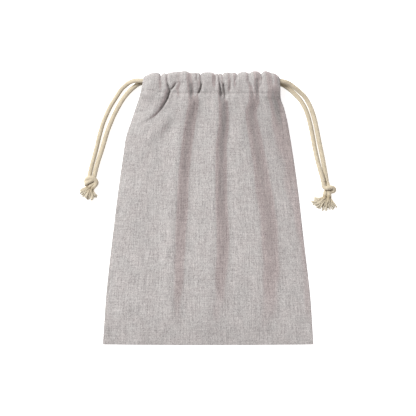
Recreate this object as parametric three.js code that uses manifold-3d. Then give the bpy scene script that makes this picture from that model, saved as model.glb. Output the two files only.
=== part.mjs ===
// A drawstring pouch lying on its back, front side up. Millimetres, +Z up.
// X runs across the pouch, Y from its bottom edge to its gathered mouth, and Z is height over the table.
// "up" is always the distance from the bottom edge along the pouch, "across" the place left or right
// of the middle line. A panel is one sheet of cloth: it lies from the bottom edge to the top fold,
// turns to the inside there, and comes back down behind its cord to the casing's seam.

import * as THREE from "three";
import { mergeVertices } from "three/addons/utils/BufferGeometryUtils.js";
import Module from "manifold-3d";

// Driving sizes
const LENGTH = 260; // bottom edge to top fold
const CLOTH = 1.0; // thickness of a layer of cloth
const CORD = 4.5; // diameter of the cord
const CORD_SIDES = 10;
const CORD_STEP = 11; // about two and a half cord diameters
const CASING_SEAM = 238.5; // the casing is stitched down here
const HEM_END = 236.5; // the folded-in cloth ends a little below the stitches
const FOLD_DEPTH = 5; // how far the top fold's turn reaches down
const TURN_START = 251.8; // but never below here
const CASING_GAP = 0.35; // between a cord and the casing around it
const CORD_ROOM = CORD / 2 + CASING_GAP + CLOTH / 2; // cord centre to the middle of that cloth
const HEM_OFFSET = 1.6; // panel to hem, at the seam
const BELLY = 6.5; // length over which the hem leaves the panel to pass under the cord

// The outline, the same on both panels: distance from the middle line to either side edge
const OUTLINE = [
  { up: 0, left: 100.5, right: 100.5 },
  { up: 44, left: 97.6, right: 97.6 },
  { up: 97, left: 91.9, right: 91.6 },
  { up: 151, left: 85.2, right: 85.4 },
  { up: 178, left: 81.3, right: 81.5 },
  { up: 197, left: 78.5, right: 78.5 },
  { up: 212, left: 73.6, right: 75.8 },
  { up: 224, left: 69.4, right: 72.8 },
  { up: 236, left: 65.4, right: 69.0 },
  { up: 246, left: 62.6, right: 68.6 },
  { up: 254, left: 61.4, right: 68.0 },
  { up: 260, left: 59.5, right: 65.5 },
];

// Height of the front cloth: along the middle (crown), at its side edges (edge), and how square the
// arch between them is (fullness). Up to the end of the side seams, at 232, an edge lies on the back
// cloth's edge with a gap of 0.3; from there on the two casings part.
const FRONT_LIE = [
  { up: 0, crown: 1.9, edge: 1.9, fullness: 2.4 },
  { up: 4, crown: 2.4, edge: 1.9, fullness: 2.4 },
  { up: 20, crown: 5.6, edge: 1.9, fullness: 2.4 },
  { up: 60, crown: 8.2, edge: 1.9, fullness: 2.4 },
  { up: 100, crown: 9.8, edge: 1.9, fullness: 2.4 },
  { up: 150, crown: 11.6, edge: 2.2, fullness: 2.6 },
  { up: 195, crown: 14.4, edge: 3.85, fullness: 3.0 },
  { up: 222, crown: 17.0, edge: 6.4, fullness: 4.0 },
  { up: 232, crown: 18.3, edge: 8.9, fullness: 5.0 },
  { up: 238.5, crown: 19.2, edge: 12.6, fullness: 6.0 },
  { up: 246, crown: 21.55, edge: 15.0, fullness: 6.0 },
  { up: 255, crown: 21.55, edge: 15.0, fullness: 6.0 },
  { up: 262, crown: 21.55, edge: 15.0, fullness: 6.0 },
];

// Height of the back cloth: flat on the table, lifted only along its side seams near the casing
const BACK_LIE = [
  { up: 0, crown: 0.5, edge: 0.5 },
  { up: 150, crown: 0.5, edge: 0.7 },
  { up: 195, crown: 0.5, edge: 2.1 },
  { up: 222, crown: 0.5, edge: 4.6 },
  { up: 232, crown: 0.5, edge: 6.4 },
  { up: 239, crown: 0.5, edge: 1.6 },
  { up: 244, crown: 0.5, edge: 0.5 },
  { up: 262, crown: 0.5, edge: 0.5 },
];
const BACK_FLAT_SHARE = 0.82; // of the width from the middle line, before the back cloth lifts to a seam
const ARCH_POWER = 0.9; // how soon the front's arch leaves its side edges
const HELD_SHARE = 0.08; // of the width, beside an edge, over which folds fade into the seam

// Folds of the front, running down from the gathers. Each row is a place along the fold: where its steep
// flank lies, the distance from there to its ridge, and the ridge's height over the cloth around it.
const FRONT_FOLDS = {
  left_fold: [
    { up: 246, across: -14, reach: 5, rise: 0.6 },
    { up: 233, across: -14, reach: 6, rise: 1.6 },
    { up: 210, across: -18, reach: 7, rise: 2.2 },
    { up: 164, across: -23, reach: 7, rise: 2.0 },
    { up: 107, across: -26, reach: 8, rise: 1.7 },
    { up: 61, across: -28.5, reach: 8, rise: 1.2 },
    { up: 26, across: -30.5, reach: 8, rise: 0.6 },
    { up: 8, across: -31, reach: 8, rise: 0 },
  ],
  middle_fold: [
    { up: 250, across: 13, reach: 4, rise: 0.1 },
    { up: 237, across: 14, reach: 5, rise: 2.0 },
    { up: 210, across: 15, reach: 6, rise: 2.4 },
    { up: 187, across: 12.5, reach: 6.5, rise: 2.3 },
    { up: 141, across: 12.5, reach: 7, rise: 2.1 },
    { up: 107, across: 14, reach: 8, rise: 1.9 },
    { up: 61, across: 12, reach: 8, rise: 1.4 },
    { up: 26, across: 9, reach: 8, rise: 0.7 },
    { up: 6, across: 7, reach: 8, rise: 0 },
  ],
  right_fold: [
    { up: 248, across: 46, reach: 5, rise: 0.5 },
    { up: 235, across: 45, reach: 6, rise: 1.4 },
    { up: 221, across: 41, reach: 6, rise: 1.5 },
    { up: 187, across: 47, reach: 7, rise: 1.6 },
    { up: 153, across: 53, reach: 8, rise: 1.7 },
    { up: 107, across: 59, reach: 9, rise: 1.6 },
    { up: 55, across: 60, reach: 9, rise: 1.1 },
    { up: 15, across: 58, reach: 9, rise: 0.4 },
    { up: 3, across: 56, reach: 9, rise: 0 },
  ],
  edge_fold: [
    { up: 250, across: 66, reach: 4, rise: 0 },
    { up: 238, across: 63, reach: 5, rise: 1.4 },
    { up: 221, across: 67, reach: 5, rise: 1.5 },
    { up: 204, across: 72, reach: 6, rise: 0.8 },
    { up: 178, across: 76, reach: 6, rise: 0 },
  ],
  slanting_fold: [
    { up: 250, across: -33, reach: 3.5, rise: 0 },
    { up: 243, across: -35, reach: 4, rise: 1.0 },
    { up: 235, across: -39.7, reach: 4.5, rise: 1.7 },
    { up: 226, across: -45.5, reach: 5, rise: 1.6 },
    { up: 217, across: -54, reach: 5.5, rise: 1.0 },
    { up: 208, across: -64, reach: 6, rise: 0 },
  ],
  faint_fold: [
    { up: 222, across: -31, reach: 6, rise: 0 },
    { up: 210, across: -38, reach: 6, rise: 0.7 },
    { up: 200, across: -46, reach: 7, rise: 0.8 },
    { up: 182, across: -58, reach: 8, rise: 0 },
  ],
};

// Flutes of the back, between which it lies flat on the table. They end in the casing, over a length
// from FLUTE_TOP on.
const FLUTE_TOP = 232;
const FLUTE_FADE = 12;
const BACK_FLUTES = {
  left_flute: [
    { up: FLUTE_TOP, across: -38, reach: 4, rise: 2.2 },
    { up: 190, across: -41, reach: 6, rise: 1.5 },
    { up: 120, across: -46, reach: 8, rise: 0 },
  ],
  middle_flute: [
    { up: FLUTE_TOP, across: -4, reach: 4.5, rise: 2.6 },
    { up: 180, across: -6, reach: 7, rise: 1.6 },
    { up: 95, across: -8, reach: 9, rise: 0 },
  ],
  right_flute: [
    { up: FLUTE_TOP, across: 33, reach: 4, rise: 2.3 },
    { up: 190, across: 37, reach: 6, rise: 1.4 },
    { up: 130, across: 42, reach: 8, rise: 0 },
  ],
};

// Creases of the gathered casing, from the top fold to the casing's seam and a little past it:
// where each one starts and ends, half its width, and its depth at either end.
const FRONT_CREASES = [
  { top: -44.5, foot: -43.5, reach: 2.0, deep_top: 1.4, deep_foot: 0.3 },
  { top: -39.0, foot: -37.8, reach: 2.4, deep_top: 0.8, deep_foot: 2.0 },
  { top: -26.0, foot: -26.5, reach: 2.6, deep_top: 1.0, deep_foot: 1.2 },
  { top: -16.5, foot: -14.5, reach: 2.6, deep_top: 1.2, deep_foot: 1.8 },
  { top: -6.5, foot: -8.6, reach: 2.0, deep_top: 1.5, deep_foot: 2.2 },
  { top: 6.7, foot: 7.5, reach: 2.0, deep_top: 1.4, deep_foot: 0.2 },
  { top: 12.4, foot: 14.2, reach: 2.8, deep_top: 1.6, deep_foot: 2.6 },
  { top: 21.5, foot: 21.5, reach: 2.0, deep_top: 1.0, deep_foot: 1.4 },
  { top: 28.0, foot: 26.0, reach: 2.0, deep_top: 1.4, deep_foot: 0.2 },
  { top: 38.3, foot: 43.5, reach: 2.2, deep_top: 1.2, deep_foot: 1.5 },
  { top: 50.5, foot: 49.0, reach: 2.4, deep_top: 1.5, deep_foot: 1.6 },
  { top: 60.0, foot: 61.0, reach: 2.8, deep_top: 1.2, deep_foot: 0.8 },
];
const BACK_CREASES = [
  { top: -50, foot: -48, reach: 2.8, deep_top: 0.9, deep_foot: 0.4 },
  { top: -37, foot: -38, reach: 2.8, deep_top: 1.1, deep_foot: 0.8 },
  { top: -21, foot: -22, reach: 2.8, deep_top: 1.0, deep_foot: 0.5 },
  { top: -5, foot: -4, reach: 2.8, deep_top: 1.2, deep_foot: 0.8 },
  { top: 11, foot: 14, reach: 2.8, deep_top: 0.9, deep_foot: 0.5 },
  { top: 27, foot: 33, reach: 2.8, deep_top: 1.1, deep_foot: 0.8 },
  { top: 45, foot: 47, reach: 2.8, deep_top: 1.0, deep_foot: 0.5 },
];
const CREASE_END = 229; // the casing's creases are gone below here
const CREASE_CHANGE = 2.2; // how soon above the seam a crease takes its upper depth
const NOTCH = 1.1; // how far a crease draws the top fold down, for each millimetre of its depth
const HEM_SHARE = 0.3; // share of a crease's depth that shows in the hem behind it

// The two casings, each around its own cord: the cord's height in the middle and at the side openings,
// how far the top fold lies below the top edge, and which way in height leads to the pouch's inside
const FRONT_CASING = { middle: 16.4, end: 11.3, below: 0, inward: -1 };
const BACK_CASING = { middle: 3.6, end: 3.6, below: 2, inward: 1 };
const CASING_FULLNESS = 6; // how square the front cord's rise is between its ends

// The uneven top edge, before the creases notch it
const TOP_EDGE = [
  { across: -59.5, up: 254.5 },
  { across: -56.5, up: 256.6 },
  { across: -51, up: 258.2 },
  { across: -36, up: 258.4 },
  { across: -23, up: 260.2 },
  { across: -12, up: 258.6 },
  { across: 5, up: 258.6 },
  { across: 30, up: 258.8 },
  { across: 54, up: 260.0 },
  { across: 61, up: 258.8 },
  { across: 64, up: 256.8 },
  { across: 65.5, up: 254.3 },
];

// How finely the cloth is divided
const FRONT_COLUMNS = 52;
const BACK_COLUMNS = 34;
const FRONT_BODY_UPS = [0, 4, 12, 26, 48, 76, 106, 136, 162, 184, 202, 216, 226];
const BACK_BODY_UPS = [0, 4, 26, 76, 136, 162, 184, 202, 216, 226];
const CASING_UPS = [232.5, 238.5, 242, 246, 251];
const FOLD_TURNS = 5;
const HEM_UPS = [251, 246, 242, 238.5];

// Routes of the cords, chosen by hand: [x, y, z]
const ROUTES = {
  cord_front_inner: [
    [-58.1, 121.2, 13.2], [-53.1, 121.2, 14.75], [-45, 120.9, 15.7], [-30, 120.6, 16.3],
    [-8, 120.8, 16.4], [18, 120.6, 16.4], [40, 120.8, 16.2], [50, 120.8, 15.6],
    [59.0, 120.8, 14.4], [64.0, 120.8, 13.0],
  ],
  cord_back_inner: [
    [-58.1, 119.3, 3.6], [-53.1, 119.3, 3.6], [-20, 119.8, 3.6], [20, 119.6, 3.6],
    [59.0, 118.2, 3.6], [64.0, 118.2, 3.6],
  ],
  cord_front_left: [
    [-58.4, 121.2, 13.1], [-63.4, 121.2, 11.5], [-69.2, 121.3, 8.9], [-74.6, 119.6, 6.4],
    [-79.2, 116.4, 4.6], [-83.3, 112.3, 3.2], [-88.2, 104.9, 2.4], [-92.9, 97.3, 2.3],
    [-96.6, 89.6, 2.3], [-99.8, 82.0, 2.3], [-102.2, 74.3, 2.3], [-104.2, 66.7, 2.3],
    [-106.0, 59.0, 2.3], [-107.9, 51.4, 2.3], [-110.1, 43.7, 2.3], [-112.0, 36.0, 2.5],
    [-113.3, 30.0, 3.1],
  ],
  cord_back_left: [
    [-58.4, 119.3, 3.6], [-63.4, 119.3, 3.6], [-67.0, 118.0, 3.3], [-70.0, 115.8, 2.8],
    [-74.8, 111.5, 2.3], [-80.6, 104.5, 2.3], [-85.2, 97.0, 2.3], [-89.2, 89.4, 2.3],
    [-92.5, 81.9, 2.3], [-95.5, 74.3, 2.3], [-97.9, 66.7, 2.3], [-100.1, 59.0, 2.3],
    [-102.5, 51.4, 2.3], [-105.0, 43.7, 2.3], [-107.1, 36.0, 2.3], [-108.5, 30.0, 2.3],
  ],
  cord_front_right: [
    [64.3, 120.8, 12.9], [69.3, 120.8, 11.5], [76.6, 118.8, 8.6], [82.9, 114.5, 6.0],
    [87.8, 110.5, 4.2], [92.4, 105.8, 3.0], [96.6, 98.7, 2.4], [99.9, 90.5, 2.3],
    [102.1, 82.6, 2.3], [103.8, 74.9, 2.3], [105.3, 67.0, 2.3], [106.8, 59.5, 2.3],
    [108.4, 51.9, 2.3], [109.9, 44.3, 2.3], [111.3, 36.6, 2.3], [112.5, 29.6, 2.4],
    [113.0, 25.6, 2.6],
  ],
  cord_back_right: [
    [64.3, 118.2, 3.6], [69.3, 118.2, 3.6], [75.2, 115.2, 3.0], [80.2, 111.1, 2.4],
    [87.5, 103.5, 2.3], [91.9, 96.4, 2.3], [94.9, 89.0, 2.3], [97.0, 81.4, 2.3],
    [98.7, 73.7, 2.3], [100.1, 66.3, 2.3], [101.5, 58.5, 2.3], [103.1, 50.8, 2.4],
    [104.9, 43.1, 3.0], [106.8, 36.0, 4.2], [108.7, 29.4, 5.5], [109.6, 25.4, 6.2],
  ],
};

// The knots and the frayed ends below them: places, sizes and turns about +Z
const KNOTS = {
  knot_left: {
    at: [-111.0, 24.6, 4.7], wide: 13.8, long: 10.6, high: 9.6, turn: 0.25, wrap_turn: -0.65,
    strands: ["cord_front_left", "cord_back_left"],
  },
  knot_right: {
    at: [113.0, 20.6, 4.9], wide: 13.4, long: 12.4, high: 10.0, turn: -0.35, wrap_turn: 0.55,
    strands: ["cord_front_right", "cord_back_right"],
  },
};
const WRAP = 2.2; // radius of the strand that goes round a knot
const WRAP_SUNK = 0.6; // how far, in its radii, that strand lies outside the knot's own length
const WRAP_HEIGHT = 0.78; // its ring's height over its length
const SOCKET_GAP = 0.3; // around a cord's end in its knot, and between knot and tuft
const LUMP_SIDES = { around: 18, over: 12 };
const WRAP_SIDES = { section: 8, around: 20 };

// Each tuft as sections along its axis: distance from the knot's middle, width and height
const TUFTS = {
  tuft_left: {
    at: [-111.0, 24.6], heading: -1.82,
    sections: [
      { along: 5.4, wide: 8.2, high: 7.2 },
      { along: 8.5, wide: 12.5, high: 8.0 },
      { along: 13.0, wide: 16.0, high: 7.4 },
      { along: 18.5, wide: 14.0, high: 5.0 },
      { along: 21.0, wide: 6.0, high: 2.4 },
    ],
  },
  tuft_right: {
    at: [113.0, 20.6], heading: -1.68,
    sections: [
      { along: 6.6, wide: 8.0, high: 7.4 },
      { along: 13.0, wide: 8.6, high: 7.6 },
      { along: 17.0, wide: 15.0, high: 7.2 },
      { along: 21.5, wide: 21.0, high: 6.0 },
      { along: 25.5, wide: 12.0, high: 3.0 },
    ],
  },
};
const TUFT_SIDES = 16;
const TUFT_LOBES = 5;
const TUFT_LOBE_DEPTH = 0.12; // of the section's size

const CLOTH_COLOUR = "#bfb6b2";
const CORD_COLOUR = "#d2c4a9";

function clothMaterial() {
  return new THREE.MeshStandardMaterial({ color: CLOTH_COLOUR, roughness: 0.92, metalness: 0 });
}

function cordMaterial() {
  return new THREE.MeshStandardMaterial({ color: CORD_COLOUR, roughness: 0.88, metalness: 0 });
}

// Small maths

const smooth = (share) => THREE.MathUtils.smoothstep(share, 0, 1);
const bell = (distance, reach) => Math.exp(-0.5 * (distance / reach) ** 2);

// A fold's profile: a ridge at minus one reach, an equal trough at plus one, steepest between them
const foldProfile = (share) => -share * Math.exp(0.5 - 0.5 * share * share);

// One column of a table at a place, as a smooth curve through its rows. The places are in the column
// called key, and may rise or fall.
function column(rows, name, place, key = "up") {
  const order = rows[0][key] < rows[rows.length - 1][key] ? rows : [...rows].reverse();
  const last = order.length - 1;
  if (place <= order[0][key]) return order[0][name];
  if (place >= order[last][key]) return order[last][name];
  let i = 0;
  while (order[i + 1][key] < place) i += 1;
  const slope = (a, b) => (order[b][name] - order[a][name]) / (order[b][key] - order[a][key]);
  const span = order[i + 1][key] - order[i][key];
  const rise = slope(i, i + 1);
  // Slopes at the two rows, flattened where the column turns so that the curve never overshoots
  const at = (row) => {
    if (row === 0 || row === last) return rise;
    const before = slope(row - 1, row);
    const after = slope(row, row + 1);
    return before * after <= 0 ? 0 : (2 * before * after) / (before + after);
  };
  const share = (place - order[i][key]) / span;
  const away = 1 - share;
  return (
    order[i][name] * (1 + 2 * share) * away * away +
    order[i + 1][name] * (3 - 2 * share) * share * share +
    span * (at(i) * share * away * away - at(i + 1) * share * share * away)
  );
}

// The cloth

// Across the pouch: side is -1 at the left edge, 0 on the middle line, 1 at the right edge
const acrossOf = (side, up) =>
  side * (side < 0 ? column(OUTLINE, "left", up) : column(OUTLINE, "right", up));

function foldsHeight(folds, profile, across, up) {
  let height = 0;
  for (const rows of Object.values(folds)) {
    const reach = column(rows, "reach", up);
    const share = (across - column(rows, "across", up)) / reach;
    height += column(rows, "rise", up) * profile(share);
  }
  return height;
}

function creaseDepth(creases, across, up) {
  const share = THREE.MathUtils.clamp((up - CASING_SEAM) / (LENGTH - CASING_SEAM), 0, 1);
  const shown = smooth((up - CREASE_END) / (CASING_SEAM - CREASE_END));
  let depth = 0;
  for (const crease of creases) {
    const centre = THREE.MathUtils.lerp(crease.foot, crease.top, share);
    const change = smooth(share * CREASE_CHANGE);
    const deep = THREE.MathUtils.lerp(crease.deep_foot, crease.deep_top, change);
    depth += deep * bell(across - centre, crease.reach);
  }
  return depth * shown;
}

function frontHeight(side, up) {
  const across = acrossOf(side, up);
  const edge = column(FRONT_LIE, "edge", up);
  const arch = (1 - Math.abs(side) ** column(FRONT_LIE, "fullness", up)) ** ARCH_POWER;
  const level = edge + (column(FRONT_LIE, "crown", up) - edge) * arch;
  const held = smooth((1 - Math.abs(side)) / HELD_SHARE);
  const folds = foldsHeight(FRONT_FOLDS, foldProfile, across, up);
  return level + (folds - creaseDepth(FRONT_CREASES, across, up)) * held;
}

function backHeight(side, up) {
  const across = acrossOf(side, up);
  const crown = column(BACK_LIE, "crown", up);
  const lift = smooth((Math.abs(side) - BACK_FLAT_SHARE) / (1 - BACK_FLAT_SHARE));
  const flutes = foldsHeight(BACK_FLUTES, (share) => bell(share, 1), across, up);
  const lying = 1 - smooth((up - FLUTE_TOP) / FLUTE_FADE);
  return crown + (column(BACK_LIE, "edge", up) - crown) * lift + flutes * lying * (1 - lift);
}

// The hem behind the cord: beside the panel at its end, and clear of the cord further up
function hemHeight(panel, side, up) {
  const beside = panel.height(side, up) + panel.casing.inward * HEM_OFFSET;
  const fullness = 1 - Math.abs(side) ** CASING_FULLNESS;
  const cord = panel.casing.end + (panel.casing.middle - panel.casing.end) * fullness;
  const crease = creaseDepth(panel.creases, acrossOf(side, up), up) * HEM_SHARE;
  const below = cord + panel.casing.inward * (CORD_ROOM + crease);
  return THREE.MathUtils.lerp(beside, below, smooth((up - CASING_SEAM) / BELLY));
}

// A point in the middle of a panel's cloth. A place on the sheet is { layer, up } on the panel or its
// hem, or { layer: "turn", angle } in the top fold.
function clothPoint(panel, side, place) {
  const across = (up) => acrossOf(side, up);
  const at = (up, height) => new THREE.Vector3(across(up), up - LENGTH / 2, height);
  if (place.layer === "panel") return at(place.up, panel.height(side, place.up));
  if (place.layer === "hem") return at(place.up, hemHeight(panel, side, place.up));
  const notch = creaseDepth(panel.creases, across(LENGTH), LENGTH) * NOTCH;
  const edge = column(TOP_EDGE, "up", across(LENGTH), "across");
  const top = edge - panel.casing.below - notch;
  const start = Math.max(top - FOLD_DEPTH, TURN_START);
  const outside = panel.height(side, start);
  const inside = hemHeight(panel, side, start);
  const middle = (outside + inside) / 2;
  const up = start + (top - start) * Math.sin(place.angle);
  return at(up, middle + (outside - middle) * Math.cos(place.angle));
}

// The sheet's places from the bottom edge, over the top fold, to the end of the hem
function sheetPlaces(bodyUps) {
  const places = [...bodyUps, ...CASING_UPS].map((up) => ({ layer: "panel", up }));
  for (let turn = 0; turn <= FOLD_TURNS; turn += 1) {
    places.push({ layer: "turn", angle: (Math.PI * turn) / FOLD_TURNS });
  }
  places.push(...[...HEM_UPS, HEM_END].map((up) => ({ layer: "hem", up })));
  return places;
}

// The sheet's thickness is laid off both ways along the cloth's own normal
function sheetSolid(panel, columns, bodyUps) {
  const places = sheetPlaces(bodyUps);
  const middle = [];
  for (let c = 0; c <= columns; c += 1) {
    const side = (2 * c) / columns - 1;
    middle.push(places.map((place) => clothPoint(panel, side, place)));
  }
  const last = { column: columns, row: places.length - 1 };
  const normal = (c, r) => {
    const acrossWay = middle[Math.min(c + 1, last.column)][r].clone().sub(middle[Math.max(c - 1, 0)][r]);
    const alongWay = middle[c][Math.min(r + 1, last.row)].clone().sub(middle[c][Math.max(r - 1, 0)]);
    return acrossWay.cross(alongWay).normalize();
  };
  const points = [];
  for (const way of [1, -1]) {
    for (let c = 0; c <= last.column; c += 1) {
      for (let r = 0; r <= last.row; r += 1) {
        points.push(middle[c][r].clone().addScaledVector(normal(c, r), (way * CLOTH) / 2));
      }
    }
  }
  const rows = last.row + 1;
  const inner = (last.column + 1) * rows;
  const index = [];
  const quad = (a, b, c, d) => index.push(a, b, c, a, c, d);
  for (let c = 0; c < last.column; c += 1) {
    for (let r = 0; r < last.row; r += 1) {
      const corner = c * rows + r;
      quad(corner, corner + rows, corner + rows + 1, corner + 1);
      quad(inner + corner, inner + corner + 1, inner + corner + rows + 1, inner + corner + rows);
    }
    for (const [r, turned] of [[0, false], [last.row, true]]) {
      const here = c * rows + r;
      const next = here + rows;
      if (turned) quad(here, next, inner + next, inner + here);
      else quad(next, here, inner + here, inner + next);
    }
  }
  for (let r = 0; r < last.row; r += 1) {
    for (const [c, turned] of [[0, true], [last.column, false]]) {
      const here = c * rows + r;
      const next = here + 1;
      if (turned) quad(here, next, inner + next, inner + here);
      else quad(next, here, inner + here, inner + next);
    }
  }
  const geometry = new THREE.BufferGeometry().setFromPoints(points);
  geometry.setIndex(index);
  return geometry;
}

// The cords

function tube(route, radius) {
  const path = new THREE.CatmullRomCurve3(route.map((place) => new THREE.Vector3(...place)));
  const section = new THREE.Shape();
  for (let s = 0; s < CORD_SIDES; s += 1) {
    const angle = (2 * Math.PI * (s + 0.5)) / CORD_SIDES;
    const [x, y] = [radius * Math.cos(angle), radius * Math.sin(angle)];
    if (s === 0) section.moveTo(x, y);
    else section.lineTo(x, y);
  }
  section.closePath();
  const steps = Math.ceil(path.getLength() / CORD_STEP);
  return new THREE.ExtrudeGeometry(section, { steps, extrudePath: path, bevelEnabled: false });
}

// Solids that are joined or cut

const wasm = await Module();
wasm.setup();

function toSolid(geometry) {
  const bare = geometry.index ? geometry.clone() : geometry;
  bare.deleteAttribute("normal");
  bare.deleteAttribute("uv");
  const merged = mergeVertices(bare);
  return new wasm.Manifold(
    new wasm.Mesh({
      numProp: 3,
      vertProperties: new Float32Array(merged.attributes.position.array),
      triVerts: new Uint32Array(merged.index.array),
    }),
  );
}

function toGeometry(solid) {
  const { vertProperties, triVerts } = solid.getMesh();
  const geometry = new THREE.BufferGeometry();
  geometry.setAttribute("position", new THREE.BufferAttribute(new Float32Array(vertProperties), 3));
  geometry.setIndex(new THREE.BufferAttribute(new Uint32Array(triVerts), 1));
  return geometry;
}

// A knot: a round lump with one strand laid slantwise around it, flat where it lies on the table, with
// a socket for each strand's end.
function knotSolid(knot) {
  const place = (geometry, turn) => geometry.rotateZ(turn).translate(...knot.at);
  const lump = new THREE.SphereGeometry(0.5, LUMP_SIDES.around, LUMP_SIDES.over);
  lump.scale(knot.wide, knot.long, knot.high);
  const around = knot.long / 2 - WRAP * WRAP_SUNK;
  const band = new THREE.TorusGeometry(around, WRAP, WRAP_SIDES.section, WRAP_SIDES.around);
  band.rotateY(Math.PI / 2).scale(1, 1, WRAP_HEIGHT);
  let solid = toSolid(place(lump, knot.turn)).add(toSolid(place(band, knot.wrap_turn)));
  const below = 2 * Math.max(knot.wide, knot.long);
  const table = new THREE.BoxGeometry(below, below, below);
  table.translate(knot.at[0], knot.at[1], -below / 2);
  solid = solid.subtract(toSolid(table));
  for (const strand of knot.strands) {
    const route = ROUTES[strand];
    const end = new THREE.Vector3(...route[route.length - 1]);
    const before = new THREE.Vector3(...route[route.length - 2]);
    const way = end.clone().sub(before).normalize();
    const past = end.clone().addScaledVector(way, SOCKET_GAP);
    const socket = [before, end, past].map((point) => point.toArray());
    solid = solid.subtract(toSolid(tube(socket, CORD / 2 + SOCKET_GAP)));
  }
  return solid;
}

// A tuft of frayed yarn: lobed sections from the knot outwards, lying on the table
function tuftGeometry(tuft) {
  const points = [];
  for (const section of tuft.sections) {
    for (let s = 0; s < TUFT_SIDES; s += 1) {
      const angle = (2 * Math.PI * s) / TUFT_SIDES;
      const lobe = 1 - TUFT_LOBE_DEPTH + TUFT_LOBE_DEPTH * Math.cos(TUFT_LOBES * angle);
      const sideways = (section.wide / 2) * Math.cos(angle) * lobe;
      const height = (section.high / 2) * (1 + Math.sin(angle) * lobe);
      points.push(new THREE.Vector3(section.along, sideways, height));
    }
  }
  const index = [];
  const rings = tuft.sections.length;
  for (let ring = 0; ring < rings - 1; ring += 1) {
    for (let s = 0; s < TUFT_SIDES; s += 1) {
      const [a, b] = [ring * TUFT_SIDES + s, ring * TUFT_SIDES + ((s + 1) % TUFT_SIDES)];
      index.push(a, b, b + TUFT_SIDES, a, b + TUFT_SIDES, a + TUFT_SIDES);
    }
  }
  const lastRing = (rings - 1) * TUFT_SIDES;
  for (let s = 1; s < TUFT_SIDES - 1; s += 1) {
    index.push(0, s + 1, s);
    index.push(lastRing, lastRing + s, lastRing + s + 1);
  }
  const geometry = new THREE.BufferGeometry().setFromPoints(points);
  geometry.setIndex(index);
  return geometry.rotateZ(tuft.heading).translate(tuft.at[0], tuft.at[1], 0);
}

// A tuft starts where its knot ends: the knot, grown by the gap, is taken out of it
function tuftSolid(tuft, knot) {
  const grown = { ...knot, strands: [] };
  for (const size of ["wide", "long", "high"]) grown[size] = knot[size] + 2 * SOCKET_GAP;
  const clear = knotSolid(grown);
  const pieces = toSolid(tuftGeometry(tuft)).subtract(clear).decompose();
  return pieces.reduce((largest, piece) => (piece.volume() > largest.volume() ? piece : largest));
}

// The pouch

const pouch = new THREE.Group();

function addPiece(name, geometry, material) {
  const mesh = new THREE.Mesh(geometry, material);
  mesh.name = name;
  pouch.add(mesh);
}

const front = { height: frontHeight, creases: FRONT_CREASES, casing: FRONT_CASING };
const back = { height: backHeight, creases: BACK_CREASES, casing: BACK_CASING };
addPiece("front_panel", sheetSolid(front, FRONT_COLUMNS, FRONT_BODY_UPS), clothMaterial());
addPiece("back_panel", sheetSolid(back, BACK_COLUMNS, BACK_BODY_UPS), clothMaterial());

for (const [name, route] of Object.entries(ROUTES)) {
  addPiece(name, tube(route, CORD / 2), cordMaterial());
}

for (const [name, knot] of Object.entries(KNOTS)) {
  addPiece(name, toGeometry(knotSolid(knot)), cordMaterial());
}
for (const [name, tuft] of Object.entries(TUFTS)) {
  const knot = KNOTS[name.replace("tuft", "knot")];
  addPiece(name, toGeometry(tuftSolid(tuft, knot)), cordMaterial());
}

export default pouch;
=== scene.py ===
"""A drawstring pouch lying on its back, its mouth gathered by knotted cotton cords.

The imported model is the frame, and this script gives the pouch its looks. All sizes are in metres.
+X runs across the pouch, +Y from its bottom edge to its mouth, and +Z up from the table. "up" is
always the distance from the bottom edge along the pouch, and "across" the place left or right of
its middle line.
"""

import math

import bpy
import numpy as np
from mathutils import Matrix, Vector


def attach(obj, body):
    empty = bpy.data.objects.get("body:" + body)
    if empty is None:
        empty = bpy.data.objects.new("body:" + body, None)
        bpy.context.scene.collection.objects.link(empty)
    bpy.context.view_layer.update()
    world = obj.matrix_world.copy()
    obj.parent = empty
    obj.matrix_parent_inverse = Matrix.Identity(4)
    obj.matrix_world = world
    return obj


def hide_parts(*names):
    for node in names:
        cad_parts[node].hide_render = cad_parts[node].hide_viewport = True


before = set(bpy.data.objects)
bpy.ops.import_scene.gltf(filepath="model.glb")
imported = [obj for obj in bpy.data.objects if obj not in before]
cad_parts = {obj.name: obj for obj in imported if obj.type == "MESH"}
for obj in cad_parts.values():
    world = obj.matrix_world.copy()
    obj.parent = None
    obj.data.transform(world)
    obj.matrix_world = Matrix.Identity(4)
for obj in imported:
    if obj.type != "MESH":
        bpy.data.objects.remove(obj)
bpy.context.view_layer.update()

bl_info = {
    "name": "Drawstring pouch",
    "version": (1, 0, 0),
    "blender": (4, 5, 0),
    "location": "3D View > Sidebar > Pouch",
    "description": "Makes a cloth pouch with knotted drawcords, and the stage it lies on",
    "category": "Add Mesh",
}

BODY = "root"


def table(names, *rows):
    """A short table with named columns, as one array for each column."""
    return dict(zip(names.split(), np.array(rows, dtype=float).T))


# The panels

LENGTH = 0.26  # bottom edge to top fold
BOTTOM = -LENGTH / 2  # where the bottom edge lies along Y
BOTTOM_BOW = 0.0006  # how far the bottom edge's middle hangs below its corners
BOW_END = 0.05  # and how far up the cloth follows it
FLAT_WIDTH = 0.2  # of a panel's cut, seam to seam
CASING_SEAM = 0.2385  # the casing is stitched down here
HEM_END = 0.2365  # the folded-in cloth ends a little below the stitches
FOLD_DEPTH = 0.005  # how far the top fold's turn reaches down
TURN_START = 0.2518  # but never below here
PANEL_END = 0.2515  # the last even row of a panel below its top fold
CORD_ROOM = 0.0031  # from a cord's middle to the cloth around it
HEM_OFFSET = 0.0012  # panel to hem, at the seam
BELLY = 0.0065  # length over which the hem leaves the panel to pass under the cord

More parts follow.
